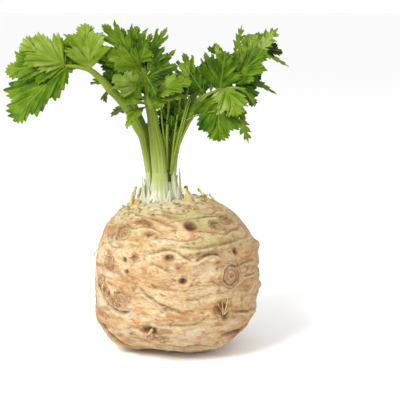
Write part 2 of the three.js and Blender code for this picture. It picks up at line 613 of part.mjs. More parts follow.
const plant = new THREE.Group();
plant.add(piece("root", rootSolid(), materials.root, vec([0, 0, ROOT_CENTRE])));
plant.add(piece("crown", crownWithTips(), materials.crown, vec([CROWN_AXIS.x, CROWN_AXIS.y, CROWN_BASE])));
for (const [name, frond] of Object.entries(FRONDS)) plant.add(frondGroup(name, frond));

export default plant;
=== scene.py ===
"""A celeriac as picked: the scarred root, its pale crown, seven ribbed stalks and their toothed leaflets.

Shapes are worked out in millimetres, in the frame's own axes, and put into the meshes in metres.
"""

import math
import random
from typing import NamedTuple

import bpy
import numpy as np
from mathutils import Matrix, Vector, noise


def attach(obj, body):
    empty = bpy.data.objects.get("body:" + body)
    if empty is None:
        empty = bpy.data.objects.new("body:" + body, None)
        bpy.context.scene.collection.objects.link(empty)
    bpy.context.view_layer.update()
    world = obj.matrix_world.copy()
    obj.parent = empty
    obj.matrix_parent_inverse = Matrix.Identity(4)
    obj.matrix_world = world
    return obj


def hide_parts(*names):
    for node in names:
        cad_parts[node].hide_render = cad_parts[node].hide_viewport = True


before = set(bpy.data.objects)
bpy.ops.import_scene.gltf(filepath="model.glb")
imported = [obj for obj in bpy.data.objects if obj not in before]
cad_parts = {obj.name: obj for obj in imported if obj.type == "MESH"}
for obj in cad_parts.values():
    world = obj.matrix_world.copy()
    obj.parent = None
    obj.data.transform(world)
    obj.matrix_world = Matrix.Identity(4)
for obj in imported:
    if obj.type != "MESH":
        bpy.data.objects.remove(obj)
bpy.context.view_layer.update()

MM = 0.001
BODY = "root"
MERGE_GAP = 0.02
SMOOTH_ANGLE = 50

# The root, as in the solids: its half width, the height of its widest level, how far it reaches above and
# below that, how square it is, and the step and height of its folds
ROOT_RADIUS = 59.5
ROOT_CENTRE = 52
ROOT_RISE = 57
ROOT_DROP = 53.2
ROOT_SQUARENESS = 2.5
FOLD_STEP = 12
FOLD_HEIGHT = 0.9

# The crown
CROWN_BASE = 101.5
CROWN_TOP = 126
CROWN_AXIS = (-10.8, 0.5)


def vec(values):
    return np.array(values, dtype=float)


def unit(v):
    return v / np.linalg.norm(v, axis=-1, keepdims=True)


def lerp(a, b, share):
    return a + (b - a) * share


def bell(distance, radius):
    return np.exp(-((distance / radius) ** 2))


def ramp(value, low, high):
    """0 below low, 1 above high and smooth between them."""
    share = np.clip((value - low) / (high - low), 0, 1)
    return share * share * (3 - 2 * share)


def dot(a, b):
    return np.sum(a * b, axis=-1, keepdims=True)


class Line:
    """A smooth line through points, read by the share of its length."""

    STEPS = 24
    NEAR = 0.01

    def __init__(self, points):
        p = vec(points)
        p = np.vstack([2 * p[0] - p[1], p, 2 * p[-1] - p[-2]])
        gaps = np.sqrt(np.linalg.norm(np.diff(p, axis=0), axis=1))
        samples = [p[1]]
        for i in range(1, len(p) - 2):
            samples.extend(self.piece(p[i - 1:i + 3], gaps[i - 1:i + 2]))
        self.samples = vec(samples)
        lengths = np.linalg.norm(np.diff(self.samples, axis=0), axis=1)
        self.length = lengths.sum()
        self.shares = np.append(0, np.cumsum(lengths)) / self.length

    def piece(self, p, gap):
        """Points of the centripetal spline between the two middle ones of four."""
        before = (p[1] - p[0]) / gap[0] - (p[2] - p[0]) / (gap[0] + gap[1]) + (p[2] - p[1]) / gap[1]
        after = (p[2] - p[1]) / gap[1] - (p[3] - p[1]) / (gap[1] + gap[2]) + (p[3] - p[2]) / gap[2]
        out, into = before * gap[1], after * gap[1]
        t = np.arange(1, self.STEPS + 1)[:, None] / self.STEPS
        square, cube = (2 * out + into) * t * t, (out + into) * t**3
        return p[1] + out * t + 3 * (p[2] - p[1]) * t * t - square - 2 * (p[2] - p[1]) * t**3 + cube

    def at(self, share):
        return np.stack([np.interp(share, self.shares, self.samples[:, k]) for k in range(3)], axis=-1)

    def along(self, share):
        back, ahead = np.clip(share - self.NEAR, 0, 1), np.clip(share + self.NEAR, 0, 1)
        return unit(self.at(ahead) - self.at(back))


def bowed(foot, tip, bow):
    """A line from foot to tip that bows by the given offset."""
    foot, tip = vec(foot), vec(tip)
    t = np.linspace(0, 1, 12)[:, None]
    return Line((1 - t) ** 2 * foot + 2 * t * (1 - t) * ((foot + tip) / 2 + vec(bow)) + t * t * tip)


# Mesh making


def deselect():
    if bpy.context.object and bpy.context.object.mode != "OBJECT":
        bpy.ops.object.mode_set(mode="OBJECT")
    bpy.ops.object.select_all(action="DESELECT")


def points_of(piece):
    flat = np.empty(len(piece.data.vertices) * 3)
    piece.data.vertices.foreach_get("co", flat)
    return flat.reshape(-1, 3)


def move_points(piece, points):
    """Puts the mesh's points at places given in millimetres."""
    piece.data.vertices.foreach_set("co", (points * MM).ravel())
    piece.data.update()


def note(piece, **facts):
    """Keeps numbers for each point of a mesh, for its material."""
    count = len(piece.data.vertices)
    for name, values in facts.items():
        layer = piece.data.attributes.new(name, "FLOAT", "POINT")
        layer.data.foreach_set("value", np.broadcast_to(values, count).astype(np.float32))


def weld(closed):
    """Merges the new piece's seam and poles, fills a closed one's ends and turns its faces outwards."""
    bpy.ops.object.mode_set(mode="EDIT")
    bpy.ops.mesh.select_all(action="SELECT")
    bpy.ops.mesh.remove_doubles(threshold=MERGE_GAP * MM)
    if closed:
        bpy.ops.mesh.fill_holes(sides=0)
        bpy.ops.mesh.normals_make_consistent(inside=False)
    bpy.ops.object.mode_set(mode="OBJECT")


def sheet(name, along, around, place):
    """A grid whose points go where place(u, v) puts them, and their u and v."""
    deselect()
    bpy.ops.mesh.primitive_grid_add(x_subdivisions=around, y_subdivisions=along, size=1)
    piece = bpy.context.object
    piece.name = name
    flat = points_of(piece)
    u, v = flat[:, 0] + 0.5, flat[:, 1] + 0.5
    move_points(piece, place(u, v))
    return piece, u, v


def closed_sheet(name, grid, place):
    """A closed piece, with u round it and v along it."""
    piece, _, _ = sheet(name, *grid, place)
    weld(closed=True)
    return piece


def apply_all(piece):
    bpy.context.view_layer.objects.active = piece
    for modifier in list(piece.modifiers):
        bpy.ops.object.modifier_apply(modifier=modifier.name)


def join(name, parts):
    deselect()
    for part in parts:
        part.select_set(True)
    bpy.context.view_layer.objects.active = parts[0]
    if len(parts) > 1:
        bpy.ops.object.join()
    whole = bpy.context.object
    whole.name = name
    bpy.ops.object.shade_smooth_by_angle(angle=math.radians(SMOOTH_ANGLE))
    return whole


def finish_piece(piece, material, slot, *nodes):
    """Gives a piece its material, hangs it under the root's body and hides the solids it takes the place of.
    """
    piece.data.materials.clear()
    piece.data.materials.append(material)
    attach(piece, BODY)
    if nodes:
        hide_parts(*nodes)


# The swollen root

# Marks of its skin: turn from the front in degrees, height, size, how far it stands out, and its raised ring
MARKS = [
    (13, 96, 6.0, -2.0, 0.8), (-46, 90, 6.5, -1.0, 1.2), (-58, 86, 6.0, 1.4, 0), (-31, 96, 7.0, 1.2, 0),
    (37, 95, 5.5, -1.2, 1.0), (41, 62, 8.5, 1.8, 0.8), (5, 61, 5.0, -2.2, 0.8), (-63, 52, 9.0, 2.2, 0),
    (-39, 47, 8.0, 1.8, 0.8), (32, 39, 8.0, -1.8, 1.4), (-18, 25, 8.0, -1.8, 1.2), (-82, 22, 34.0, 5.5, 0),
    (-58, 8, 26.0, 4.5, 0), (-72, 27, 9.0, 2.2, 0), (72, 30, 10.0, 1.6, 0), (88, 74, 7.0, 1.8, 0),
    (100, 44, 10.0, 2.6, 0), (116, 84, 6.0, -1.6, 1.2), (128, 26, 11.0, 3.0, 0), (140, 60, 8.0, 1.8, 1.0),
    (160, 38, 9.0, 2.4, 0), (172, 78, 7.0, -1.6, 1.2), (186, 18, 10.0, 2.6, 0), (200, 56, 9.0, 2.0, 0.8),
    (222, 34, 10.0, 2.8, 0), (236, 76, 7.0, 1.6, 0), (250, 52, 8.0, -1.6, 1.4), (262, 20, 10.0, 2.4, 0),
]

# Broad lumps of the swelling, as waves through space: x, y and z waves per mm, phase, height in mm
LUMPS = [
    (0.055, 0.021, 0.03, 0.6, 0.8), (-0.032, 0.061, 0.041, 2.1, 0.8), (0.02, -0.047, 0.083, 4.0, 0.7),
    (0.094, 0.052, -0.061, 1.2, 0.6), (-0.071, 0.093, 0.102, 5.1, 0.6),
]

KNOB_COUNT = 90
KNOB_SEED = 11


def seeded_knobs():
    """Smaller knobs and dents between the marks, in the same order of draws as the solid's."""
    state = KNOB_SEED

    def draw(low, high):
        nonlocal state
        state = (state * 16807) % 2147483647
        return lerp(low, high, state / 2147483647)

    return [(draw(-180, 180), draw(8, 96), draw(5, 9), draw(-1.2, 2.0), 0) for _ in range(KNOB_COUNT)]


def waver(turn):
    """How far the root's level folds and wrinkles rise and fall on their way round it."""
    return 2.6 * np.sin(2 * turn + 0.7) + 1.7 * np.sin(5 * turn + 2.0)


def on_root(turn, z):
    """The point of the plain surface at a turn from the front and a height."""
    along = abs(z - ROOT_CENTRE) / (ROOT_RISE if z > ROOT_CENTRE else ROOT_DROP)
    radius = ROOT_RADIUS * (1 - along**ROOT_SQUARENESS) ** (1 / ROOT_SQUARENESS)
    angle = math.radians(turn)
    return vec([radius * math.sin(angle), -radius * math.cos(angle), z])


def plain_root(direction):
    """The plain surface without relief, in the given unit directions from the middle of the swelling."""
    across = np.hypot(direction[:, 0], direction[:, 1]) / ROOT_RADIUS
    along = np.abs(direction[:, 2]) / np.where(direction[:, 2] > 0, ROOT_RISE, ROOT_DROP)
    reach = (across**ROOT_SQUARENESS + along**ROOT_SQUARENESS) ** (-1 / ROOT_SQUARENESS)
    return direction * reach[:, None] + vec([0, 0, ROOT_CENTRE])


def relief(p):
    """How far the skin stands out from the plain surface at points p."""
    height = np.zeros(len(p))
    for x, y, z, phase, size in LUMPS:
        height += size * np.sin(x * p[:, 0] + y * p[:, 1] + z * p[:, 2] + phase)
    turn = np.arctan2(p[:, 0], -p[:, 1])
    strength = bell(p[:, 2] - ROOT_CENTRE, 40) * (0.5 + 0.5 * np.sin(3 * turn + p[:, 2] / 14))
    height += FOLD_HEIGHT * strength * np.sin(2 * np.pi * (p[:, 2] + waver(turn)) / FOLD_STEP)
    for mark_turn, mark_z, size, out, rim in MARKS + seeded_knobs():
        away = np.linalg.norm(p - on_root(mark_turn, mark_z), axis=1)
        height += out * bell(away, size * 0.6) + rim * bell(away - size * 0.85, size * 0.35)
    return height


# Scars of leaves and rootlets: turn from the front, height, half width and half height in mm
PITS = [  # with their depth: dark holes with a raised, brown rim
    (13, 96, 4.4, 4.4, 0.8), (5, 62, 2.4, 2.2, 1.6), (-4, 77, 3.8, 2.0, 0.9), (-17, 26, 5.5, 3.2, 2.2),
    (47, 78, 2.6, 2.4, 1.0), (-35, 66, 2.0, 1.5, 0.7), (-39, 74, 2.0, 1.8, 0.7), (-51, 86, 1.6, 1.6, 0.8),
    (35, 35, 2.6, 2.8, 1.4), (-54, 47, 2.2, 1.8, 1.0), (150, 70, 4.6, 4.0, 2.0), (205, 84, 3.6, 3.4, 1.4),
    (118, 56, 3.0, 2.6, 1.4), (232, 44, 4.4, 3.4, 1.8), (176, 30, 6.0, 3.6, 2.0), (86, 58, 3.0, 2.6, 1.2),
    (-96, 70, 3.6, 3.0, 1.4), (-118, 40, 4.0, 3.2, 1.6),
]
RINGS = [  # round scars in rings
    (40, 63, 8.0, 7.6), (-46, 90, 5.2, 5.2), (37, 95, 5.0, 4.2), (54, 98, 5.0, 4.4), (62, 97, 3.6, 3.4),
    (-39, 47, 6.4, 4.2), (-56, 69, 5.4, 5.0), (-63, 51, 5.4, 6.0), (130, 90, 5.0, 4.6), (168, 52, 6.4, 6.8),
    (214, 62, 5.0, 5.6), (246, 88, 4.6, 4.4), (100, 34, 5.0, 4.4), (-112, 86, 4.4, 4.2),
]
SPOTS = [  # small brown spots, barely sunk
    (-15, 89, 2.4, 1.8), (-58, 86, 3.6, 4.0), (51, 44, 1.8, 1.6), (31, 53, 1.2, 1.2), (22, 99, 1.4, 1.0),
    (16, 79, 1.8, 1.6), (-13, 57, 2.6, 1.6), (-10, 16, 2.6, 2.4), (-34, 22, 1.8, 1.6), (-7, 42, 3.0, 1.6),
    (13, 85, 1.4, 1.2), (30, 90, 2.0, 1.6), (-80, 36, 6.0, 5.0), (-28, 55, 2.2, 2.6), (2, 70, 3.2, 1.8),
]
ROUGH = [  # rough brown patches
    (-31, 97, 8.0, 3.6), (-30, 76, 4.6, 3.2), (-22, 91, 5.0, 2.0), (-62, 48, 7.0, 5.0), (-46, 42, 8.0, 3.0),
    (-84, 24, 8.0, 3.0), (-72, 16, 7.0, 2.6), (-60, 30, 8.0, 2.6), (31, 40, 7.0, 7.0), (-18, 27, 9.0, 5.0),
    (-14, 20, 9.0, 3.0), (52, 19, 9.0, 2.6), (140, 40, 10.0, 6.0), (196, 24, 12.0, 5.0), (224, 78, 9.0, 4.0),
    (106, 76, 7.0, 4.0), (-100, 52, 8.0, 6.0), (-130, 26, 10.0, 5.0),
]

# Creases: turn and height of their points, depth, half width, and how far the lip below them stands out
CREASES = [
    ([(12, 73), (17, 76), (22, 78), (28, 78), (33, 76)], 1.6, 0.9, 1.0),
    ([(-24, 78), (-14, 80), (-6, 82), (0, 81), (5, 78), (10, 75), (14, 73)], 0.7, 0.8, 0.5),
    ([(-18, 72), (-12, 72), (-6, 69), (-1, 67)], 0.5, 0.7, 0.2),
    ([(49, 60), (60, 59), (72, 58), (86, 60)], 1.0, 0.8, 0.3),
    ([(38, 37), (50, 35), (62, 33), (80, 31)], 1.0, 0.8, 0.3),
    ([(33, 18), (43, 20), (56, 20), (70, 21), (86, 25)], 1.8, 1.2, 1.2),
    ([(-104, 33), (-92, 32), (-80, 28), (-68, 21), (-56, 14), (-45, 8)], 2.2, 1.3, 1.8),
    ([(-28, 58), (-23, 55), (-18, 51), (-11, 46), (-2, 42), (7, 39)], 0.7, 0.9, 0.6),
    ([(-4, 84), (6, 83), (15, 82), (27, 83), (42, 84), (68, 84)], 0.6, 0.8, 0.3),
    ([(35, 72), (45, 68), (56, 69), (71, 68)], 0.7, 0.9, 0.5),
    ([(-70, 100), (-58, 101), (-31, 100), (-13, 99)], 0.7, 0.8, 0.5),
    ([(-5, 99), (13, 100), (35, 101), (54, 100)], 0.8, 0.9, 0.6),
    ([(-66, 46), (-58, 41), (-48, 37), (-39, 36), (-30, 39)], 1.4, 1.0, 0.6),
    ([(-66, 76), (-60, 66), (-56, 63)], 1.0, 0.7, 0.6),
    ([(-52, 96), (-38, 93), (-22, 95), (-8, 92)], 0.6, 0.6, 0.4),
    ([(8, 91), (24, 92), (40, 89), (56, 91), (70, 88)], 0.6, 0.6, 0.4),
    ([(-24, 87), (-10, 89), (6, 87), (22, 88)], 0.5, 0.6, 0.3),
    ([(-74, 88), (-62, 82), (-50, 80), (-40, 82)], 0.6, 0.7, 0.4),
    ([(-30, 103), (-14, 104), (4, 103), (20, 104)], 0.7, 0.6, 0.5),
    ([(24, 103), (44, 102), (62, 103), (80, 100)], 0.7, 0.6, 0.5),
    ([(-20, 34), (-8, 31), (6, 30), (20, 32)], 0.5, 0.8, 0.3),
    ([(-12, 14), (4, 12), (20, 13), (34, 11)], 0.6, 0.8, 0.4),
    ([(100, 66), (116, 70), (134, 68), (150, 61)], 1.2, 1.0, 0.8),
    ([(110, 98), (132, 96), (154, 99), (176, 97)], 0.6, 0.7, 0.4),
    ([(200, 98), (222, 95), (244, 97), (266, 94)], 0.6, 0.7, 0.4),
    ([(150, 48), (166, 44), (184, 46), (198, 40)], 0.6, 0.8, 0.4),
    ([(92, 88), (108, 86), (124, 89), (140, 86)], 0.5, 0.7, 0.3),
    ([(238, 80), (256, 76), (272, 80)], 0.6, 0.7, 0.4),
    ([(158, 84), (176, 88), (196, 86), (214, 90)], 0.8, 0.9, 0.5),
    ([(120, 24), (140, 18), (164, 20), (182, 26)], 1.4, 1.1, 0.9),
    ([(190, 44), (206, 40), (222, 46), (240, 62)], 1.0, 0.9, 0.6),
    ([(228, 28), (246, 34), (262, 30), (276, 36)], 1.2, 1.0, 0.8),
]
# Lines of a ring scar from its rim inwards: radius as share, height in mm, stain and how strong it is
RING_LINES = [
    (1.0, 0.9, "pale", 0.4), (0.82, -0.6, "brown", 1.1), (0.62, 0.3, "pale", 0.4), (0.5, -0.3, "brown", 1.0),
    (0.3, 0.2, "pale", 0.4), (0.16, -0.3, "brown", 1.0),
]
STAINS = ("dark", "brown", "orange", "pale", "valley", "green")
# The rough collar round the crown: its radius and half width, and the radius of the crown's own foot
COLLAR_RADIUS = 27
COLLAR_WIDTH = 11
CROWN_FOOT = 19
# Pin-size specks: how many there are, and how flat they lie along each axis
SPECK_COUNT = 380
SPECK_FLATNESS = (0.75, 0.75, 1.7)
SPECK_SEED = 5
# Cuts of each edge of the cube that becomes the root, one after the other
ROOT_CUTS = (11, 9)


def noise_at(p, scale, stretch=1.0, seed=0.0):
    """Smooth noise, about -0.6 to 0.6: scale in waves per mm, and stretch times as many of them upwards."""
    scaled = p * vec([scale, scale, scale * stretch]) + seed
    return vec([noise.noise(point) for point in scaled])


class Skin:
    """The root's surface at work: its plain points, how far each stands out, and how stained it is."""

    def __init__(self, plain):
        self.p = plain
        self.height = relief(plain)
        self.turn = np.arctan2(plain[:, 0], -plain[:, 1])
        self.grain = noise_at(plain, 0.45, 1.0, 31.0)
        self.stains = {name: np.zeros(len(plain)) for name in STAINS}

    def stain(self, name, amount, where=slice(None)):
        self.stains[name][where] = np.maximum(self.stains[name][where], amount)

    def around(self, turn, z, wide, high):
        """Distance from a mark's middle, 1 at its uneven edge, and the angle round it."""
        centre = on_root(turn, z)
        angle = math.radians(turn)
        side = vec([math.cos(angle), math.sin(angle), 0])
        level = z - ROOT_CENTRE
        rise = ROOT_RISE if level > 0 else ROOT_DROP
        steep = math.copysign(abs(level) ** 1.5 / rise**2.5, level)
        flat = math.hypot(centre[0], centre[1]) ** 1.5 / ROOT_RADIUS**2.5
        out = unit(vec([math.sin(angle) * flat, -math.cos(angle) * flat, steep]))
        away = self.p - centre
        across, up, deep = away @ side / wide, away @ np.cross(out, side) / high, away @ out / (wide + high)
        way = np.arctan2(up, across)
        uneven = 1 + 0.05 * np.sin(2 * way + turn) + 0.03 * np.sin(5 * way + z)
        return np.sqrt(across**2 + up**2 + deep**2) * uneven, way

    def wrinkle(self):
        """Fine level wrinkles that waver and fade out."""
        moved = self.p + waver(self.turn)[:, None] * vec([0, 0, 1])
        fine = noise_at(moved, 0.035, 8.5)
        fade = 0.35 + 0.65 * ramp(noise_at(self.p, 0.05, 1.4, 7.0), -0.15, 0.2)
        self.height += 0.95 * fine * fade
        self.height += 0.55 * noise_at(self.p, 0.13, 1.2, 3.0) + 0.3 * self.grain * fade
        self.stain("valley", ramp(-fine, 0.08, 0.4) * fade)

    def pit(self, turn, z, wide, high, depth):
        away, way = self.around(turn, z, wide, high)
        self.height += 0.4 * depth * bell(away - 1.15, 0.3) - depth * bell(away, 0.75)
        blotchy = 0.66 + 0.2 * np.sin(2 * way + z) + 0.7 * self.grain
        self.stain("dark", (1 - ramp(away, 0.35, 1.1)) * blotchy)
        self.stain("brown", 1 - ramp(away, 0.75, 1.35))
        self.stain("orange", bell(away - 0.95, 0.4) * (0.5 - 0.5 * np.sin(way + 0.6)))
        self.stain("pale", 0.25 * bell(away - 1.35, 0.2))

    def ring(self, turn, z, wide, high):
        away, way = self.around(turn, z, wide, high)
        size = min(1, wide / 5)
        inner = away + 0.07 * np.sin(way + z) + 0.09 * self.grain
        for radius, rise, colour, strength in RING_LINES:
            self.height += size * rise * bell(inner - radius, 0.1)
            uneven = 0.8 + 0.2 * np.sin(way + turn + 9 * radius)
            self.stain(colour, strength * uneven * bell(inner - radius, 0.12))
        self.stain("brown", bell(away - 1.16, 0.13) * (0.75 + 0.25 * np.sin(way + turn)))
        self.stain("dark", 0.45 * bell(away - 1.16, 0.08) * (0.6 + 0.4 * np.sin(way + turn)))
        self.stain("valley", 0.5 * (1 - ramp(away, 0.8, 1.1)))
        self.stain("orange", 0.35 * bell(away - 0.6, 0.5) * ramp(self.grain, -0.1, 0.3))
        self.stain("dark", 0.35 * bell(away - 0.1, 0.16))

    def spot(self, turn, z, wide, high):
        away, _ = self.around(turn, z, wide, high)
        self.height -= 0.3 * bell(away, 0.7)
        self.stain("brown", 0.95 * bell(away, 0.95))
        self.stain("dark", 0.55 * bell(away, 0.4))

    def rough(self, turn, z, wide, high):
        away, _ = self.around(turn, z, wide, high)
        patch = 1 - ramp(away, 0.5, 1.25)
        self.height += patch * 1.3 * self.grain
        self.stain("brown", patch * ramp(self.grain, -0.22, 0.25))
        self.stain("orange", 0.6 * patch * ramp(-self.grain, -0.25, 0.2))
        self.stain("dark", 0.7 * patch * ramp(-self.grain, 0.12, 0.4))

    def crease(self, points, depth, width, lip):
        line = Line([on_root(turn, z) for turn, z in points])
        samples = line.at(np.linspace(0, 1, int(line.length / 0.8)))
        middle = samples[len(samples) // 2]
        near = np.flatnonzero(np.linalg.norm(self.p - middle, axis=1) < line.length * 0.6 + 6)
        gaps = np.linalg.norm(self.p[near, None] - samples[None], axis=2)
        closest = np.argmin(gaps, axis=1)
        away = gaps[np.arange(len(near)), closest]
        share = closest / (len(samples) - 1)
        taper = ramp(np.minimum(share, 1 - share), -0.02, 0.18)
        below = ramp(samples[closest, 2] - self.p[near, 2], -0.3, 0.6)
        swell = lip * below * bell(away - 1.9 * width, 1.5 * width)
        self.height[near] += taper * (swell - depth * bell(away, width))
        self.stain("brown", 0.75 * taper * bell(away, 1.3 * width), near)
        self.stain("dark", 0.4 * depth * taper * bell(away, 0.8 * width), near)
        self.stain("pale", 0.6 * taper * below * bell(away - 2.2 * width, width), near)

    def specks(self):
        """Pin-size scars of rootlets, most of them on the upper half."""
        draw = random.Random(SPECK_SEED)
        for _ in range(SPECK_COUNT):
            turn, z = draw.uniform(-180, 180), draw.triangular(4, 102, 84)
            size = draw.triangular(0.5, 1.9, 0.8)
            away = np.linalg.norm((self.p - on_root(turn, z)) * SPECK_FLATNESS, axis=1) / size
            self.height += draw.uniform(-0.4, 0.15) * bell(away, 0.9)
            self.stain("brown", draw.uniform(0.35, 0.9) * bell(away, 1.0))
            self.stain("dark", draw.uniform(-0.3, 0.6) * bell(away, 0.6))

    def green_light(self):
        """Where daylight reached the root: its shoulder, most of all in front and to the right."""
        shoulder = ramp(self.p[:, 2] + 12 * noise_at(self.p, 0.04, 1.5, 12.0), 66, 96)
        streaky = ramp(noise_at(self.p, 0.03, 7.0, 20.0), -0.35, 0.3)
        facing = 0.3 + 0.7 * bell(self.turn - math.radians(14), 0.95)
        self.stain("green", shoulder * streaky * facing)

    def collar(self):
        """The rough ring round the crown's foot, where old leaf bases left fibres and brown crusts."""
        out = np.hypot(self.p[:, 0] - CROWN_AXIS[0], self.p[:, 1] - CROWN_AXIS[1])
        near = bell(out - COLLAR_RADIUS, COLLAR_WIDTH) * ramp(self.p[:, 2], 88, 97)
        crust = noise_at(self.p, 0.3, 2.2, 40.0)
        fibre = noise_at(self.p, 0.16, 7.0, 44.0)
        self.height += near * (2.0 * np.abs(crust) + 1.0 * fibre)
        self.stain("green", 0.8 * near * ramp(fibre, -0.3, 0.2))
        self.stain("brown", near * ramp(crust, 0.2, 0.4))
        self.stain("dark", 0.3 * near * ramp(crust, 0.3, 0.45))
        foot = (1 - ramp(out, CROWN_FOOT, 2.1 * CROWN_FOOT)) * ramp(self.p[:, 2], 92, 98)
        self.stain("pale", foot * (0.75 + 0.25 * ramp(fibre, 0, 0.3)))
        self.stain("valley", 0.8 * near * ramp(-fibre, 0.1, 0.35))


def root_piece():
    """A cube cut fine, blown up to the swelling and worked with every scar, crease and wrinkle."""
    deselect()
    bpy.ops.mesh.primitive_cube_add(size=2)
    piece = bpy.context.object
    bpy.ops.object.mode_set(mode="EDIT")
    bpy.ops.mesh.select_all(action="SELECT")
    for cuts in ROOT_CUTS:
        bpy.ops.mesh.subdivide(number_cuts=cuts)
    bpy.ops.object.mode_set(mode="OBJECT")
    direction = unit(np.tan(points_of(piece) * math.pi / 4))
    skin = Skin(plain_root(direction))
    skin.wrinkle()
    for work, scars in ((skin.rough, ROUGH), (skin.crease, CREASES), (skin.ring, RINGS), (skin.spot, SPOTS)):
        for scar in scars:
            work(*scar)
    skin.specks()
    for pit in PITS:
        skin.pit(*pit)
    skin.collar()
    skin.green_light()
    points = skin.p + direction * skin.height[:, None]
    points[:, 2] = np.maximum(points[:, 2], 0)
    move_points(piece, points)
    note(piece, **skin.stains)
    return join("root_skin", [piece])


# Tubes: stalks, sheaths and stems

RIB_COUNT = 13
STALK_RIBS = 0.035
STALK_GROOVE = 0.3
# How far round the stalk the channel at its back reaches, in radians
CHANNEL_REACH = 0.7
# Faces along and around each kind of tube
STALK_GRID = (60, 52)
UPPER_STALK_GRID = (50, 26)
MIDRIB_GRID = (20, 8)
THIN_STEM_GRID = (24, 12)
SHEATH_GRID = (24, 52)
CORE_GRID = (16, 48)
TIP_GRID = (24, 16)
TONGUE_GRID = (36, 20)
SMALL_GRID = (16, 10)


def oval(u, wide, deep, ribs=0.0, groove=0.0):
    """Ways to the side and to the back, round a tube: an oval with ribs and a channel in its back."""
    angle = 2 * np.pi * u
    rib = 1 + ribs * np.cos(RIB_COUNT * angle)
    channel = 1 - groove * bell(angle - np.pi / 2, CHANNEL_REACH)
    return (wide * rib * np.cos(angle))[:, None], (deep * channel * rib * np.sin(angle))[:, None]


def tube(name, line, grid, size, across, span=(0, 1), ribs=0.0, groove=0.0):
    """A closed tube along a span of a line. size(t) gives its half width and half depth at share t."""

    def place(u, v):
        t = lerp(*span, v)
        along = line.along(t)
        wide_way = unit(vec(across) - along * dot(vec(across), along))
        right, back = oval(u, *size(t), ribs, groove)
        return line.at(t) + wide_way * right + np.cross(along, wide_way) * back

    return closed_sheet(name, grid, place)


def table_size(rows):
    shares, wides, deeps = zip(*rows)
    return lambda t: (np.interp(t, shares, wides), np.interp(t, shares, deeps))


def narrowing(thick, loss):
    """The size of a round stem that loses a share of its thickness on its way."""
    return lambda t: (thick * (1 - loss * t),) * 2


# Leaflets: the cut outlines. edge holds the points of half the outline from base to tip, as shares of length
# and of half width. veins counts the points where a side vein ends. spread says how close to the base the
# veins leave the midrib, and smooth how round the lobes are
OUTLINES = {
    "broad": {
        "edge": [
            (0, 0.06), (0.1, 0.22), (0.22, 0.6), (0.38, 0.94), (0.5, 1), (0.5, 0.56), (0.63, 0.74),
            (0.79, 0.8), (0.79, 0.48), (0.8, 0.32), (0.9, 0.36), (0.96, 0.2),
        ],
        "veins": [2, 4, 7, 10],
        "spread": 2.4,
        "smooth": 0.7,
    },
    "fan": {
        "edge": [
            (0, 0.06), (0.05, 0.3), (0.14, 0.66), (0.29, 0.94), (0.45, 1), (0.48, 0.66), (0.6, 0.86),
            (0.76, 0.92), (0.8, 0.6), (0.81, 0.42), (0.91, 0.46), (0.97, 0.26),
        ],
        "veins": [2, 4, 7, 10],
        "spread": 3.0,
        "smooth": 0.7,
    },
    "cut": {
        "edge": [
            (0, 0.06), (0.16, 0.16), (0.34, 0.56), (0.6, 1), (0.5, 0.44), (0.5, 0.26), (0.66, 0.5),
            (0.9, 0.66), (0.76, 0.3), (0.76, 0.18), (0.88, 0.24), (0.95, 0.14),
        ],
        "veins": [3, 7, 10],
        "spread": 2.4,
        "smooth": 0.35,
    },
    "lobed": {
        "edge": [
            (0, 0.06), (0.26, 0.18), (0.4, 0.6), (0.58, 1), (0.6, 0.48), (0.75, 0.76), (0.76, 0.34),
            (0.88, 0.4), (0.93, 0.2),
        ],
        "veins": [3, 5, 7],
        "spread": 2.0,
        "smooth": 0.5,
    },
    "feathery": {
        "edge": [
            (0, 0.14), (0.2, 0.2), (0.44, 1), (0.42, 0.3), (0.68, 0.9), (0.64, 0.24), (0.88, 0.55),
            (0.84, 0.18),
        ],
        "veins": [2, 4, 6],
        "spread": 1.3,
        "smooth": 0.3,
    },
}

FRONT = (0, -1, 0.3)


class Leaf(NamedTuple):
    """A leaflet's facts: where it leaves the stalk, its tip, its width, the way its face looks, its outline,
    how far it arches and cups, the bare share of its length, its tone from 0, dark, to 1, light, which for
    leaflets deep in the bunch is partly painted shade, how wide its right and left halves are seen from its
    base, and its brown blots."""

    at: float
    tip: tuple
    wide: float
    face: tuple
    kind: str = "broad"
    arch: float = 2
    cup: float = 0.3
    bare: float = 0.12
    tone: float = 0.5
    halves: tuple = (1, 1)
    blots: tuple = ()


# Brown blots of the upright left leaflet: shares along its outline and across it
UPRIGHT_BLOTS = ((0.86, 0.56), (0.6, 0.4), (0.52, 0.62), (0.42, 0.3), (0.7, 0.66))
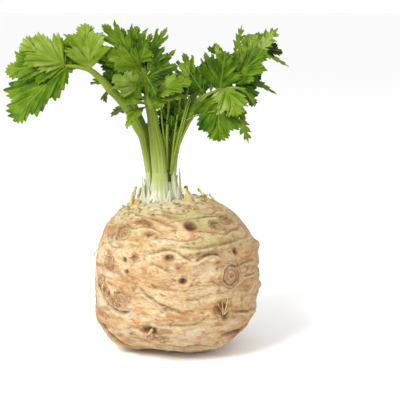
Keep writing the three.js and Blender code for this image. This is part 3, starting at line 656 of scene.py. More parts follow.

# A leaflet's tone is partly its own green and partly painted shade: leaflets behind and inside the bunch get
# darker tones where shade falls on them
FRONDS = {
    "left": {
        "line": [
            (-19.7, -2, 126.3), (-22, -2, 144), (-24, -4, 154), (-27, -5, 160), (-32, -6, 170),
            (-37, -7, 177), (-41, -8, 182), (-46, -10, 187), (-50, -11, 192), (-54, -12, 196),
            (-59, -14, 200.5), (-64, -15, 202.5), (-70, -16, 203.5), (-76, -17, 204),
        ],
        "size": [(0, 2.4, 3.4), (0.35, 3.6, 2.8), (0.65, 2.9, 2.3), (0.85, 1.8, 1.6), (1, 1.2, 1.1)],
        "across": (1, 0.2, 0.4),
        "leafy": 0.64,
        "leaflets": [
            Leaf(1.0, (-106, -23, 219), 36, (-0.2, -1, 0.3), "fan", 3, 0.3, 0.02, 0.8, (0.82, 0.6)),
            Leaf(1.0, (-117, -22, 200), 25, (0, -0.8, 0.6), "broad", 3, 0.2, 0.02, 0.6),
            Leaf(0.98, (-110, -33, 167), 42, (-0.1, -0.9, 0.45), "fan", 5, 0.3, 0.02, 0.42, (1.08, 0.6)),
            Leaf(0.84, (-62, -19, 233), 30, FRONT, "broad", 2, 0.4, 0.02, 0.78, (0.95, 1.1), UPRIGHT_BLOTS),
            Leaf(0.88, (-77, -8, 222), 20, (-0.3, -0.9, 0.3), "fan", 2, 0.5, 0.02, 0.5),
            Leaf(0.93, (-81, -6, 195), 9, (0, 0.4, 0.9), "lobed", tone=0.8),
            Leaf(0.66, (-50, 4, 177), 10, (-0.6, 0, 0.7), "lobed", tone=0.3),
        ],
    },
    "centre": {
        "line": [
            (-12, -6.5, 126.3), (-13.5, -8, 144), (-15, -8.5, 155), (-16, -9, 160), (-17, -9, 169),
            (-19, -9, 178), (-20.5, -8, 187), (-21.5, -8, 194), (-24, -7, 201), (-28, -6, 206),
        ],
        "size": [
            (0, 5.3, 3.6), (0.25, 5.1, 3.4), (0.4, 4.1, 3.0), (0.65, 3.2, 2.5), (0.85, 1.9, 1.7),
            (1, 1.2, 1.2),
        ],
        "across": (1, 0, 0),
        "leafy": 0.58,
        "leaflets": [
            Leaf(1.0, (-51, -13, 232), 23, (-0.1, -1, 0.3), "cut", 2, 0.3, 0.04, 0.5, (1.2, 0.8)),
            Leaf(1.0, (-28, 0, 231), 20, (0, -1, 0.1), "cut", 1, 0.3, 0.04, 0.5),
            Leaf(0.97, (-6, -12, 230), 17, (0.4, -0.9, -0.2), "cut", 2, 0.5, 0.06, 0.55, (0.7, 1)),
            Leaf(0.96, (-20, -17, 220), 15, (0.1, -1, 0.4), "broad", 1, tone=0.5),
            Leaf(0.87, (-8, -12, 217), 13, (0.3, -1, 0.2), "cut", 1, 0.2, tone=0.35),
            Leaf(0.85, (0, -8, 215), 6.5, (0.4, -1, 0.2), "lobed", 1, 0.2, tone=0.3),
            Leaf(0.83, (1, -13, 204), 12, (0.2, -0.8, 0.6), "broad", 3, 0.2, tone=0.25),
            Leaf(0.91, (-47, -18, 212), 20, (-0.2, -0.9, 0.4), "fan", 3, 0.4, 0.04, 0.6),
            Leaf(0.88, (-48, -12, 204), 11, (-0.2, -0.6, 0.8), "lobed", 3, tone=0.4),
            Leaf(0.74, (-43, -25, 197), 20, (-0.1, -1, -0.1), "broad", 2, 0.5, 0.25, 0.85),
            Leaf(0.79, (-32, -20, 200), 13, (0.2, -1, 0), "broad", 2, 0.4, 0.2, 0.75),
            Leaf(0.83, (-14, -20, 184), 14, (0.1, -0.9, 0.4), "broad", 6, 0.3, 0.2, 0.3),
            Leaf(0.68, (11, -19, 193), 17, (0.1, -0.8, 0.6), "broad", 3, 0.4, 0.15, 0.6),
            Leaf(0.64, (9, -18, 183), 11, (0.1, -0.7, 0.7), "lobed", 2, 0.2, 0.15, 0.7),
            Leaf(0.6, (-34, -25, 161), 13, (-0.4, -0.7, 0.5), "lobed", 5, 0.5, 0.15, 0.65),
            Leaf(0.61, (-36, -23, 177), 12, (0, -0.5, 0.85), "broad", 2, 0.9, 0.15, 0.7),
        ],
    },
    "right": {
        "line": [
            (-2.3, -3.5, 126.3), (-0.5, -4, 144), (1.5, -5, 154), (5, -6, 160), (8, -7, 167), (11, -8, 173),
            (14, -9, 177), (19, -10, 181.5), (26, -10, 184.5), (32, -9, 188), (39, -7, 193), (45, -6, 198),
            (52, -4, 203),
        ],
        "size": [
            (0, 1.9, 3.0), (0.2, 2.0, 2.8), (0.35, 2.9, 2.4), (0.55, 2.6, 2.2), (0.7, 1.6, 1.5),
            (1, 0.9, 0.9),
        ],
        "across": (1, 0, -0.4),
        "leafy": 0.57,
        "leaflets": [
            Leaf(0.71, (30, -21, 152), 32, (0, -1, 0.15), "fan", 2, 0.3, 0.02, 0.4),
            Leaf(0.76, (42, -26, 170), 24, (0.2, -0.9, 0.3), "fan", 4, -0.3, 0.02, 0.85),
            Leaf(0.73, (34, -15, 214), 27, FRONT, "broad", 1, 0.3, 0.02, 0.4),
            Leaf(0.71, (20, -5, 213), 14, (-0.1, -1, 0), "cut", 1, 0.3, 0.06, 0.3),
            Leaf(0.585, (5, -2, 212), 18, (-0.1, -1, 0.2), "cut", 1, 0.2, 0.2, 0.4),
            Leaf(0.62, (10, -14, 199), 12, FRONT, "broad", 1, 0.3, 0.15, 0.25),
            Leaf(0.86, (55, -15, 176), 15, (0.3, -0.9, 0.2), "broad", 2, 0.3, 0.08, 0.15),
            Leaf(0.87, (70, -12, 184), 7, (0.1, -0.5, 0.9), "lobed", 2, 0.3, 0.15, 0.4),
            Leaf(0.88, (59, -2, 189), 11, (0.1, -0.8, 0.5), "broad", 2, 0.3, 0.1, 0.3),
            Leaf(0.8, (63, -15, 214), 25, (0, -0.9, 0.4), "broad", 2, 0.5, 0.02, 0.45),
            Leaf(0.97, (56, -2, 225), 15, (0, -1, 0), "cut", 1, 0.3, 0.1, 0.75),
            Leaf(0.92, (45, 1, 218), 14, (0, -1, 0), "cut", 1, 0.3, 0.1, 0.5),
            Leaf(0.82, (51, -7, 149), 10, (0, -1, 0.1), "feathery", 2, 0.2, 0.5, 0.8),
            Leaf(0.8, (48, -9, 165), 9, (0.2, -1, 0), "broad", 1, 0.2, 0.3, 0.4),
            Leaf(0.79, (28, 4, 219), 6, (0, -1, 0), "feathery", 1, 0.2, 0.45, 0.6),
        ],
    },
    "inner": {
        "line": [
            (-5.6, 1, 126.3), (-5, 2, 143), (-4, 2, 150), (-4, 2, 157), (-3, 1, 165), (0, 1, 172),
            (4, 3, 180),
        ],
        "size": [(0, 1.4, 1.6), (1, 0.8, 0.8)],
        "across": (1, 0, 0),
        "leafy": 0.5,
        "leaflets": [
            Leaf(0.56, (-10, -2, 177), 9, (-0.5, -0.8, 0.2), "broad", 1, 0.8, 0.1, 0.6),
            Leaf(0.66, (-9, 5, 181), 10, (-0.2, -0.9, 0.2), "broad", 1, 0.3, 0.1, 0.15),
            Leaf(1.0, (14, 5, 193), 12, (0, -0.9, 0.5), "broad", 2, 0.3, 0.1, 0.2),
            Leaf(1.0, (-1, 5, 196), 13, (-0.2, -0.9, 0.3), "fan", 1, 0.3, 0.1, 0.3),
        ],
    },
    "back_left": {
        "line": [
            (-16.5, 6, 126.3), (-18, 7, 137), (-21, 9, 149), (-25, 10, 160), (-30, 12, 172), (-35, 13, 184),
            (-40, 14, 195),
        ],
        "size": [(0, 3.7, 2.9), (0.5, 2.9, 2.4), (1, 1.3, 1.2)],
        "across": (-0.9, -0.3, 0),
        "leafy": 0.56,
        "leaflets": [
            Leaf(1.0, (-60, 8, 217), 17, (-0.4, -0.5, 0.7), "fan", tone=0.4),
            Leaf(1.0, (-46, 34, 215), 20, (-0.3, 0.5, 0.8), "fan", 3, tone=0.3),
            Leaf(1.0, (-31, 18, 218), 16, (0.2, 0.6, 0.6), "broad", 1, tone=0.5),
            Leaf(0.82, (-63, 28, 188), 19, (-0.3, 0.4, 0.9), "fan", 4, tone=0.4),
            Leaf(0.82, (-26, 38, 197), 17, (0.2, 0.6, 0.8), "fan", 3, tone=0.6),
            Leaf(0.62, (-49, 32, 164), 13, (-0.2, 0.6, 0.7), "lobed", 4, tone=0.3),
        ],
    },
    "back_right": {
        "line": [
            (-4.5, 7.5, 126.3), (-3, 9, 140), (1, 12, 155), (6, 16, 168), (13, 20, 182), (23, 24, 195),
            (36, 26, 205), (49, 26, 211), (57, 25, 213),
        ],
        "size": [(0, 3.7, 2.9), (0.45, 2.9, 2.4), (0.7, 1.9, 1.7), (1, 0.9, 0.9)],
        "across": (-0.9, 0.3, 0),
        "leafy": 0.52,
        "leaflets": [
            Leaf(1.0, (73, 22, 229), 15, (0.3, -0.8, 0.3), "feathery", 2, 0.3, 0.05, 0.65),
            Leaf(1.0, (77, 33, 211), 14, (0.5, -0.5, 0.6), tone=0.1),
            Leaf(0.95, (81, 22, 201), 10, (0.3, -0.6, 0.7), "feathery", 3, 0.3, 0.2, 0.7),
            Leaf(0.95, (62, 46, 224), 17, (0.2, 0.6, 0.7), "fan", 3, tone=0.5),
            Leaf(0.86, (47, 24, 231), 8, (0, -1, 0.2), "feathery", 1, tone=0.5),
            Leaf(0.84, (53, 53, 203), 20, (0.2, 0.7, 0.7), "fan", 4, tone=0.4),
            Leaf(0.68, (36, 49, 178), 20, (0.2, 0.9, 0.4), "fan", 4, tone=0.3),
            Leaf(0.58, (1, 40, 193), 14, (-0.3, 0.7, 0.6), tone=0.3),
        ],
    },
    "back": {
        "line": [
            (-11, 12, 126.3), (-11, 15, 137), (-10, 20, 149), (-9, 27, 160), (-7, 35, 170), (-5, 42, 178),
        ],
        "size": [(0, 3.0, 2.2), (1, 1.2, 1.2)],
        "across": (-1, 0, 0),
        "leafy": 0.56,
        "leaflets": [
            Leaf(1.0, (2, 65, 192), 20, (0.1, -0.3, 0.9), "fan", 3, tone=0.4),
            Leaf(1.0, (-22, 60, 190), 17, (-0.2, -0.2, 0.9), "fan", 3, tone=0.5),
            Leaf(1.0, (20, 54, 186), 17, (0.3, -0.2, 0.9), "broad", 3, tone=0.3),
            Leaf(0.82, (-31, 46, 176), 16, (-0.3, 0.2, 0.9), "fan", 3, tone=0.5),
            Leaf(0.82, (16, 47, 163), 16, (0.3, 0.3, 0.9), "fan", 4, tone=0.4),
            Leaf(0.62, (-26, 41, 148), 12, (-0.3, 0.4, 0.8), "lobed", 4, tone=0.3),
        ],
    },
}

# Large leaflets are wider than this in mm. Faces of both kinds along each step of the outline and across a
# half, and their teeth a step
LARGE_FROM = 18
LARGE_GRID = (14, 8)
SMALL_LEAF_GRID = (9, 5)
LARGE_TEETH = 1.45
SMALL_TEETH = 0.95
# Teeth: their depth in mm and its growth with the width, the share of a tooth on its longer side, how round
# they are, and the step of the outline where they start
TOOTH = 0.9
TOOTH_GROWTH = 0.07
TOOTH_RISE = 0.64
TOOTH_ROUNDNESS = 0.8
FIRST_TOOTH = 1.2
# Bends of a blade, as shares of its width
CUP = 0.25
WAVE = 0.035
FOLD = 0.1
RIPPLE = 0.03
TWIST = 0.2
# A blade's thickness and its stem's radius at the foot and the tip in mm, the shares of the length where the
# stem starts and ends, and the size of a blot as a share of the blade
BLADE_THICK = 0.45
STEM_RADIUS = 1.0
STEM_END = 0.12
STEM_SPAN = (0, 0.9)
BLOT_SIZE = 0.035


def through(points, index, smooth):
    """The outline between its points: straight lines, turned into a spline by the share smooth."""
    p = vec(points)
    low = np.clip(np.floor(index).astype(int), 0, len(p) - 2)
    f = (index - low)[:, None]
    before, after = p[np.maximum(low - 1, 0)], p[np.minimum(low + 2, len(p) - 1)]
    one, two = p[low], p[low + 1]
    bend = (2 * before - 5 * one + 4 * two - after) * f**2 + (3 * one - 3 * two + after - before) * f**3
    curved = one + 0.5 * ((two - before) * f + bend)
    return lerp(one + (two - one) * f, curved, smooth).T


class Blade:
    """A leaflet at work. index counts its outline's steps, and side is -1 and 1 on its edges."""

    def __init__(self, start, leaf):
        self.leaf = leaf
        self.start, self.end = start, vec(leaf.tip)
        along = unit(self.end - start)
        self.up = unit(vec(leaf.face) - along * dot(vec(leaf.face), along))
        self.across = np.cross(self.up, along)
        self.bend = (start + self.end) / 2 + self.up * 2 * leaf.arch
        self.length = np.linalg.norm(self.end - start)
        self.outline = OUTLINES[leaf.kind]
        self.edge = self.outline["edge"] + [(1, 0)]
        self.count = len(self.edge) - 1
        self.vein_ends = [0, *self.outline["veins"], self.count]
        large = leaf.wide > LARGE_FROM
        self.steps, self.rows = LARGE_GRID if large else SMALL_LEAF_GRID
        self.teeth = LARGE_TEETH if large else SMALL_TEETH
        self.own = self.end[0] * 0.7 + self.end[2] * 0.4

    def spine(self, t):
        t = np.asarray(t)[..., None]
        return (1 - t) ** 2 * self.start + 2 * t * (1 - t) * self.bend + t * t * self.end

    def lobe(self, u):
        """The lobe at a share along the outline, a whole number on each vein."""
        return np.interp(u * self.count, self.vein_ends, range(len(self.vein_ends)))

    def bite(self, index, side):
        """How far the teeth stand out from the outline, in mm."""
        tooth = (index * self.teeth + 0.35) % 1
        bite = np.minimum(tooth / TOOTH_RISE, (1 - tooth) / (1 - TOOTH_RISE))
        bite = lerp(bite, np.sin(bite * np.pi / 2), TOOTH_ROUNDNESS) - 0.55
        bite = bite * ramp(index, FIRST_TOOTH, 1.8) * (1 - ramp(index, self.count - 0.4, self.count))
        depth = TOOTH + TOOTH_GROWTH * self.leaf.wide
        return depth * bite * (1 + 0.4 * np.sin(1.7 * index + self.own + side))

    def margin(self, index, side):
        """Share of the length and distance from the midrib of the toothed margin."""
        edge_t, edge_out = through(self.edge, index, self.outline["smooth"])
        bite = self.bite(index, side)
        right, left = self.leaf.halves
        uneven = 1 + 0.12 * np.sin(0.8 * index + self.own + 2 * np.sign(side))
        out = np.maximum(edge_out * self.leaf.wide / 2, 0) * uneven * np.where(side > 0, left, right)
        return edge_t + 0.45 * bite / self.length, np.maximum(out + bite * np.minimum(1, out / 4), 0)

    def place(self, u, v):
        leaf = self.leaf
        index, side = u * self.count, 2 * v - 1
        share, half = np.abs(side), np.sign(side)
        edge_t, out = self.margin(index, side)
        t = np.clip(lerp(leaf.bare, 1, lerp(u ** self.outline["spread"], edge_t, share)), 0, 1)
        reach = share * out / (leaf.wide / 2)
        fold = FOLD * (0.8 + 0.5 * math.sin(2 * self.own + 1))
        pleat = np.abs(np.sin(np.pi * self.lobe(u)))
        lift = CUP * leaf.cup * reach**2 + WAVE * reach * np.sin(2.4 * index + half)
        lift += share * (1.4 - share) * fold * (pleat - 0.4)
        lift += RIPPLE * reach * np.sin(1.3 * index * self.teeth + self.own)
        lift += TWIST * math.sin(self.own) * reach * half * t
        sideways = half * share * out
        return self.spine(t) + self.across * sideways[:, None] + self.up * (leaf.wide * lift)[:, None]

    def note_veins(self, piece, u, v):
        """How far each point is from its side vein and from the midrib, and how strong its blots are."""
        step = 0.5 / (self.count * self.steps)
        before, after = np.maximum(u - step, 0), np.minimum(u + step, 1)
        spread = np.linalg.norm(self.place(after, v) - self.place(before, v), axis=1)
        lobes = np.maximum(self.lobe(after) - self.lobe(before), 1e-6)
        lobe, side = self.lobe(u), 2 * v - 1
        from_rib = np.linalg.norm(self.place(u, v) - self.place(u, np.full(len(v), 0.5)), axis=1)
        blots = sum(bell(np.hypot(u - a, v - b), BLOT_SIZE) for a, b in self.leaf.blots)
        note(piece, vein_mm=np.abs(lobe - np.round(lobe)) * spread / lobes, reach_mm=from_rib)
        note(piece, rib_mm=np.abs(side) * self.margin(u * self.count, side)[1])
        note(piece, phase=lobe + 20 * np.sign(side) + self.own, blot=np.minimum(blots, 1))

    def blade(self):
        piece, u, v = sheet("blade", 2 * self.rows, self.count * self.steps, self.place)
        self.note_veins(piece, u, v)
        weld(closed=False)
        single = len(piece.data.vertices)
        thick = piece.modifiers.new("thickness", "SOLIDIFY")
        thick.thickness = BLADE_THICK * MM
        thick.offset = 0
        apply_all(piece)
        under = (np.arange(len(piece.data.vertices)) >= single).astype(float)
        note(piece, under=under, tone=self.leaf.tone, stem=0)
        return piece

    def stem(self):
        """The round stem, which goes on as the midrib under the blade."""

        def size(t):
            radius = np.interp(t, (0, self.leaf.bare, 1), (STEM_RADIUS, STEM_RADIUS * 0.55, STEM_END))
            return radius, radius

        line = Line(self.spine(np.linspace(0, 1, 24)) - self.up * 0.3)
        piece = tube("stem", line, MIDRIB_GRID, size, self.across, STEM_SPAN)
        note(piece, under=0, blot=0, tone=self.leaf.tone, stem=1)
        return piece


# Smaller leaflets that fill the bunch between the larger ones. The darkest of them are painted shade: dark
# leaflets set in the shaded gaps between the larger ones
FILLERS = {
    "left": [
        Leaf(0.95, (-86, -7, 216), 17, (-0.5, -0.7, 0.4), "broad", 2, 0.5, 0.05, 0.3),
        # Painted shade: a dark leaflet that fills the shaded gap between the upper left leaflets
        Leaf(0.97, (-92, -10, 200), 14, (0, -0.9, 0.5), "lobed", 2, 0.3, 0.1, 0.2),
        Leaf(0.9, (-72, -5, 212), 22, (-0.2, -0.9, 0.4), "fan", 1, 0.5, 0.02, 0.45),
    ],
    "centre": [
        Leaf(0.62, (-43, -14, 198), 18, (-0.1, -1, 0.1), "broad", 3, 0.6, 0.22, 0.6),
        Leaf(0.66, (-32, -6, 199), 10, (0.3, -0.9, 0), "broad", 2, 0.6, 0.15, 0.02),
        Leaf(0.84, (1, -8, 203), 15, (0.1, -0.9, 0.5), "broad", 3, 0.4, 0.08, 0.6),
        Leaf(0.84, (-23, -3, 211), 11, (0.2, -1, 0), "broad", 1, 0.3, 0.1, 0.02),
        Leaf(0.94, (-48, -15, 211), 15, (-0.1, -0.8, 0.5), "broad", 2, 0.3, 0.1, 0.75),
        Leaf(0.7, (8, -16, 194), 15, (0.2, -0.8, 0.5), "lobed", 3, 0.5, 0.15, 0.85),
        Leaf(0.96, (-52, -2, 207), 11, (-0.2, -0.9, 0.3), "feathery", 2, 0.2, 0.2, 0.55),
        Leaf(0.9, (-34, 6, 207), 16, (0.1, -1, 0.2), "fan", 2, 0.3, 0.1, 0.35),
        Leaf(0.97, (-38, -9, 230), 13, (0, -1, 0.2), "cut", 1, 0.3, 0.04, 0.4),
        Leaf(0.97, (-17, -8, 226), 14, (0.2, -1, 0.2), "cut", 1, 0.3, 0.04, 0.5),
        Leaf(0.66, (-9, -13, 190), 12, (0.3, -0.9, 0.3), "broad", 3, 0.5, 0.1, 0.45),
        Leaf(0.6, (-6, -12, 180), 11, (0.2, -0.9, 0.4), "fan", 3, 0.5, 0.15, 0.65),
    ],
    "right": [
        Leaf(0.75, (32, 8, 210), 22, (0, -1, 0.2), "cut", 2, 0.2, 0.1, 0.35),
        Leaf(0.66, (25, -11, 211), 12, (-0.1, -1, 0.2), "cut", 1, 0.3, 0.06, 0.25),
        Leaf(0.6, (2, -6, 205), 15, (0, -1, 0.2), "cut", 2, 0.3, 0.2, 0.55),
        Leaf(0.97, (68, -4, 228), 10, (0, -1, 0.1), "feathery", 1, 0.2, 0.3, 0.95),
        Leaf(0.8, (27, -8, 217), 5, (0.2, -1, 0), "feathery", 3, 0.2, 0.5, 0.8),
        Leaf(0.88, (60, 4, 196), 18, (0.1, -0.9, 0.3), "broad", 2, 0.4, 0.1, 0.05),
        Leaf(0.84, (54, 3, 184), 17, (0.2, -0.9, 0.3), "fan", 3, 0.2, 0.1, 0.2),
        Leaf(0.62, (20, 6, 205), 15, (0, -1, 0.1), "broad", 2, 0.3, 0.12, 0.35),
        Leaf(0.58, (16, 4, 190), 12, (0.1, -0.9, 0.4), "broad", 2, 0.4, 0.15, 0.5),
        Leaf(0.93, (60, -10, 200), 15, (0.1, -0.9, 0.4), "broad", 2, 0.4, 0.1, 0.3),
    ],
    "inner": [
        Leaf(0.5, (-10, 3, 166), 13, (-0.3, -0.9, 0.3), "fan", 3, 0.4, 0.1, 0.12),
        Leaf(0.6, (-3, -3, 186), 12, (0.1, -1, 0.3), "broad", 2, 0.4, 0.1, 0.4),
        Leaf(0.85, (-13, 2, 190), 14, (-0.2, -1, 0.2), "fan", 2, 0.4, 0.1, 0.2),
        Leaf(0.52, (3, -1, 171), 12, (0.3, -0.9, 0.3), "broad", 2, 0.5, 0.1, 0.3),
        Leaf(0.5, (-4, -5, 168), 11, (0, -0.9, 0.4), "fan", 2, 0.6, 0.1, 0.45),
        Leaf(0.55, (-10, 0, 171), 11, (-0.3, -0.9, 0.3), "broad", 2, 0.6, 0.1, 0.1),
        Leaf(0.7, (7, 0, 181), 12, (0.3, -0.9, 0.3), "broad", 2, 0.4, 0.1, 0.5),
        Leaf(0.75, (-6, -4, 183), 11, (0, -0.9, 0.4), "cut", 2, 0.4, 0.1, 0.6),
        Leaf(0.5, (-9, -2, 160), 9, (-0.3, -0.9, 0.3), "broad", 2, 0.6, 0.1, 0.2),
        Leaf(0.5, (0, -2, 161), 9, (0.3, -0.9, 0.3), "broad", 2, 0.6, 0.1, 0.35),
        Leaf(0.5, (5, 0, 164), 9, (0.3, -0.9, 0.3), "cut", 2, 0.6, 0.1, 0.55),
        Leaf(0.56, (-1, -3, 176), 12, (0.1, -0.9, 0.3), "broad", 2, 0.6, 0.1, 0.25),
        Leaf(0.62, (-8, -3, 176), 12, (-0.2, -0.9, 0.3), "fan", 2, 0.5, 0.1, 0.5),
        Leaf(0.62, (-10, -11, 175), 9, (-0.3, -0.9, 0.2), "cut", 2, 0.4, 0.2, 0.15),
        Leaf(0.6, (3, -14, 176), 10, (0.3, -0.9, 0.3), "cut", 2, 0.4, 0.2, 0.3),
        Leaf(0.55, (-3, -13, 169), 8, (0, -0.9, 0.3), "broad", 2, 0.4, 0.3, 0.2),
    ],
    "back_left": [
        Leaf(0.9, (-52, 2, 198), 15, (-0.3, -0.9, 0.3), "fan", 2, 0.4, 0.1, 0.35),
        Leaf(0.75, (-20, 22, 190), 15, (0.4, 0.3, 0.8), "broad", 2, 0.3, 0.1, 0.5),
    ],
    "back_right": [
        Leaf(0.7, (34, 6, 190), 16, (0, -0.9, 0.4), "fan", 2, 0.4, 0.1, 0.25),
        Leaf(0.8, (22, 30, 214), 14, (-0.1, 0.4, 0.8), "fan", 2, 0.4, 0.1, 0.45),
    ],
    "back": [Leaf(0.7, (6, 30, 188), 14, (0.2, -0.4, 0.8), "fan", 2, 0.4, 0.1, 0.3)],
}


# Thin stems, each as foot, tip and thickness: dark ones inside the bunch, whose dark tone is painted shade
HEART_STEMS = [
    ((-6.8, 4, 120), (-6, 4, 156), 1.9), ((-3, 5, 120), (1, 5, 158), 1.6),
    ((-17, 3, 120), (-21, 5, 150), 1.8), ((-5, 3, 120), (-9, 2, 162), 1.2),
    ((-4, -1, 122), (4, -2, 166), 0.9), ((-4.5, -1, 122), (-1, -3, 170), 0.8),
]
# Light ones that cross the bunch in front of them
CROSSING_STEMS = [
    ((-4, -6, 127), (9, -13, 182), 1.2), ((-7, -5, 130), (-5, -10, 181), 1.4),
    ((-4, -6, 128), (3, -12, 182), 0.9), ((-8, -6, 146), (-11, -11, 184), 0.8),
]
# Light ones that part from the right stalk at its bend
BEND_STEMS = [
    ((3, -7, 158), (22, -15, 184), 1.1), ((9, -10, 170), (34, -17, 181), 0.7),
    ((7, -11, 166), (27, -19, 173), 0.55), ((4, -6, 160), (9, -9, 190), 0.9),
    ((2, -8, 148), (14, -12, 171), 0.8), ((1, -8, 142), (10, -13, 180), 0.7),
]
# Each frond's thin stems, their tone, and how much of the stem's own colour they have
THIN_STEMS = {
    "inner": [(HEART_STEMS, 0.25, 0.35), (CROSSING_STEMS, 0.55, 0.75)],
    "right": [(BEND_STEMS, 0.8, 1)],
}
STEM_BOW = (-1.3, 0, 1)


def thin_stem(foot, tip, thick, tone, stem_share):
    stem = tube("thin_stem", bowed(foot, tip, STEM_BOW), THIN_STEM_GRID, narrowing(thick, 0.4), (1, 0, 0))
    note(stem, tone=tone, stem=stem_share)
    return stem


def stalk_part(frond, line, grid, span, groove=0.0):
    return tube("stalk", line, grid, table_size(frond["size"]), frond["across"], span, STALK_RIBS, groove)


def stalk_piece(name, frond, line):
    stalk = stalk_part(frond, line, STALK_GRID, (0, frond["leafy"]), STALK_GROOVE)
    return join(f"ribbed_stalk_{name}", [stalk])


def leafy_piece(name, frond, line):
    """The upper stalk with its leaflets and the thin stems round it."""
    upper = stalk_part(frond, line, UPPER_STALK_GRID, (frond["leafy"], 1))
    note(upper, under=0, tone=0.5, stem=1)
    parts = [upper]
    for stems, tone, stem_share in THIN_STEMS.get(name, []):
        parts.extend(thin_stem(*stem, tone, stem_share) for stem in stems)
    for leaf in frond["leaflets"] + FILLERS[name]:
        blade = Blade(line.at(vec([leaf.at]))[0], leaf)
        parts.extend([blade.blade(), blade.stem()])
    return join(f"leaflets_{name}", parts)


# The crown: the pale sheaths at the foot of the stalks, grown together. Each level has its height, and as
# shares of the stalk's own its distance from the crown's axis and its width
SHEATH_LEVELS = [
    (CROWN_BASE, 1.6, 2.0), (108, 1.4, 1.65), (115, 1.14, 1.3), (122, 1.02, 1.09), (CROWN_TOP, 1, 1.03),
    (CROWN_TOP + 4, 1, 0.95),
]
# The core between the sheaths: height and radius
CORE = [(CROWN_BASE, 15), (108, 13), (121, 9)]
CORE_DEPTH = 0.9
# Torn tips of outer sheaths: foot, tip and width
SHEATH_TIPS = [
    ((-23.5, -8, 104), (-24.5, -7, 125), 8.0), ((3, -7, 104), (2, -6, 131), 6.5),
    ((-21, 8, 108), (-24, 10, 121), 4.5), ((-2, 12, 108), (0, 15, 123), 5.0),
    ((-20, -11.5, 103), (-20, -10.5, 117), 8.0), ((-13, -16.5, 102), (-14.5, -13.5, 113), 8.0),
    ((-6, -15, 102), (-5, -12, 116), 7.5), ((2, -11.5, 102), (1, -9.5, 119), 6.5),
]
# Dry leaf bases on the shoulder: foot, tip, the side their width lies on, half widths at the foot and the tip
TORN_STUBS = [
    ((-33, -5, 103), (-29, -4, 118), (1, 0.3, 0), 2.2, 0.8),
    ((12, -10, 100), (4.5, -8, 117), (1, 0, 0), 3.0, 1.5),
    ((15, -3, 102), (8, -1, 113), (1, 0.2, 0), 2.2, 0.7),
    ((27, -5, 101), (15, -2, 116), (0.7, -0.7, 0.3), 2.0, 1.5),
    ((31, 2, 98), (23, 4, 111), (0.6, 0.8, 0), 1.8, 0.6),
    ((-30, 18, 98), (-27, 20, 113), (0.6, 0.8, 0), 3.0, 1.0),
    ((8, 20, 101), (6, 22, 114), (0.9, 0.4, 0), 3.2, 1.2),
    ((-10, 32, 97), (-11, 30, 110), (1, 0, 0), 2.6, 0.8),
    ((18, -14, 100), (12, -11, 108), (0.9, -0.4, 0.2), 3.4, 1.8),
    ((25, -12, 99), (17, -9, 107), (0.8, -0.5, 0), 2.8, 1.6),
    ((32, -7, 97), (24, -5, 104), (0.6, -0.7, 0), 2.4, 1.2),
    ((4, -17, 102), (2, -15, 108), (1, 0, 0), 2.6, 1.4),
    ((-30, -10, 102), (-27, -9, 110), (0.9, -0.4, 0), 2.6, 1.2),
    ((29, 8, 98), (22, 8, 107), (0.2, 1, 0), 2.6, 1.0),
]
# Curled scraps: the ranges of their distance from the crown's axis, with the most usual one last, of their
# length, lean, rise, bow and half width, and how deep they sit in the root
FLAKE_COUNT = 46
FLAKE_SEED = 3
FLAKE_OUT = (21, 37, 25)
FLAKE_LENGTH = (2, 5.5)
FLAKE_LEAN = (-0.9, 0.9)
FLAKE_RISE = (0.15, 0.8)
FLAKE_BOW = (0.2, 1.2)
FLAKE_WIDE = (0.6, 1.8)
FLAKE_THICK = 0.45
FLAKE_SUNK = vec([0, 0, 0.8])
# Fibres: the half width and half depth of the ring they start on, and the ranges of their distance from the
# axis in such rings, length, slant towards the crown and to the side, and half width, and how deep they sit
FIBRE_COUNT = 40
FIBRE_SEED = 9
FIBRE_RING = vec([17, 15])
FIBRE_OUT = (1.0, 1.25)
FIBRE_LENGTH = (2, 6)
FIBRE_SLANT = (0, 2.5)
FIBRE_ASIDE = (-2.5, 2.5)
FIBRE_WIDE = (0.4, 1.3)
FIBRE_THICK = 0.35
FIBRE_SUNK = vec([0, 0, 1.5])
# Torn tips in mm: thickness at the foot and half width at the end. A plain tongue's thickness. The bow of both
TIP_THICK = 1.2
TIP_END = 0.4
TONGUE_THICK = 0.8
TIP_BOW = (0, 0, 1.5)


def sheath(frond):
    """The swollen foot of a stalk: it leans out from the crown's axis towards its foot."""
    heights, spreads, swells = zip(*SHEATH_LEVELS)
    x, y, low = frond["line"][0]
    next_x, next_y, high = frond["line"][1]
    lean = vec([next_x - x, next_y - y, 0]) / (high - low)
    _, wide, deep = frond["size"][0]
    wide_way = unit(vec([frond["across"][0], frond["across"][1], 0]))
    deep_way = vec([-wide_way[1], wide_way[0], 0])

    def place(u, v):
        z = lerp(heights[0], heights[-1], v)
        spread, swell = np.interp(z, heights, spreads), np.interp(z, heights, swells)
        centre = np.stack([lerp(CROWN_AXIS[0], x, spread), lerp(CROWN_AXIS[1], y, spread), z], axis=-1)
        centre = centre + lean * np.maximum(z - CROWN_TOP, 0)[:, None]
        right, back = oval(u, wide * swell, deep * swell, STALK_RIBS)
        return centre + wide_way * right + deep_way * back

    return closed_sheet("sheath", SHEATH_GRID, place)


def crown_core():
    heights, radii = zip(*CORE)

    def place(u, v):
        z = lerp(heights[0], heights[-1], v)
        radius = np.interp(z, heights, radii)
        right, back = oval(u, radius, CORE_DEPTH * radius)
        return np.stack([CROWN_AXIS[0] + right[:, 0], CROWN_AXIS[1] + back[:, 0], z], axis=-1)

    return closed_sheet("core", CORE_GRID, place)


def torn_tip(foot, tip, wide):
    """A torn, dry tongue of an outer sheath that narrows upwards."""
    across = unit(vec([CROWN_AXIS[1] - foot[1], foot[0] - CROWN_AXIS[0], 0]))

    def size(t):
        return lerp(wide / 2, TIP_END, t), lerp(TIP_THICK, TIP_END, t) * 0.6

    return tube("torn_tip", bowed(foot, tip, TIP_BOW), TIP_GRID, size, across)


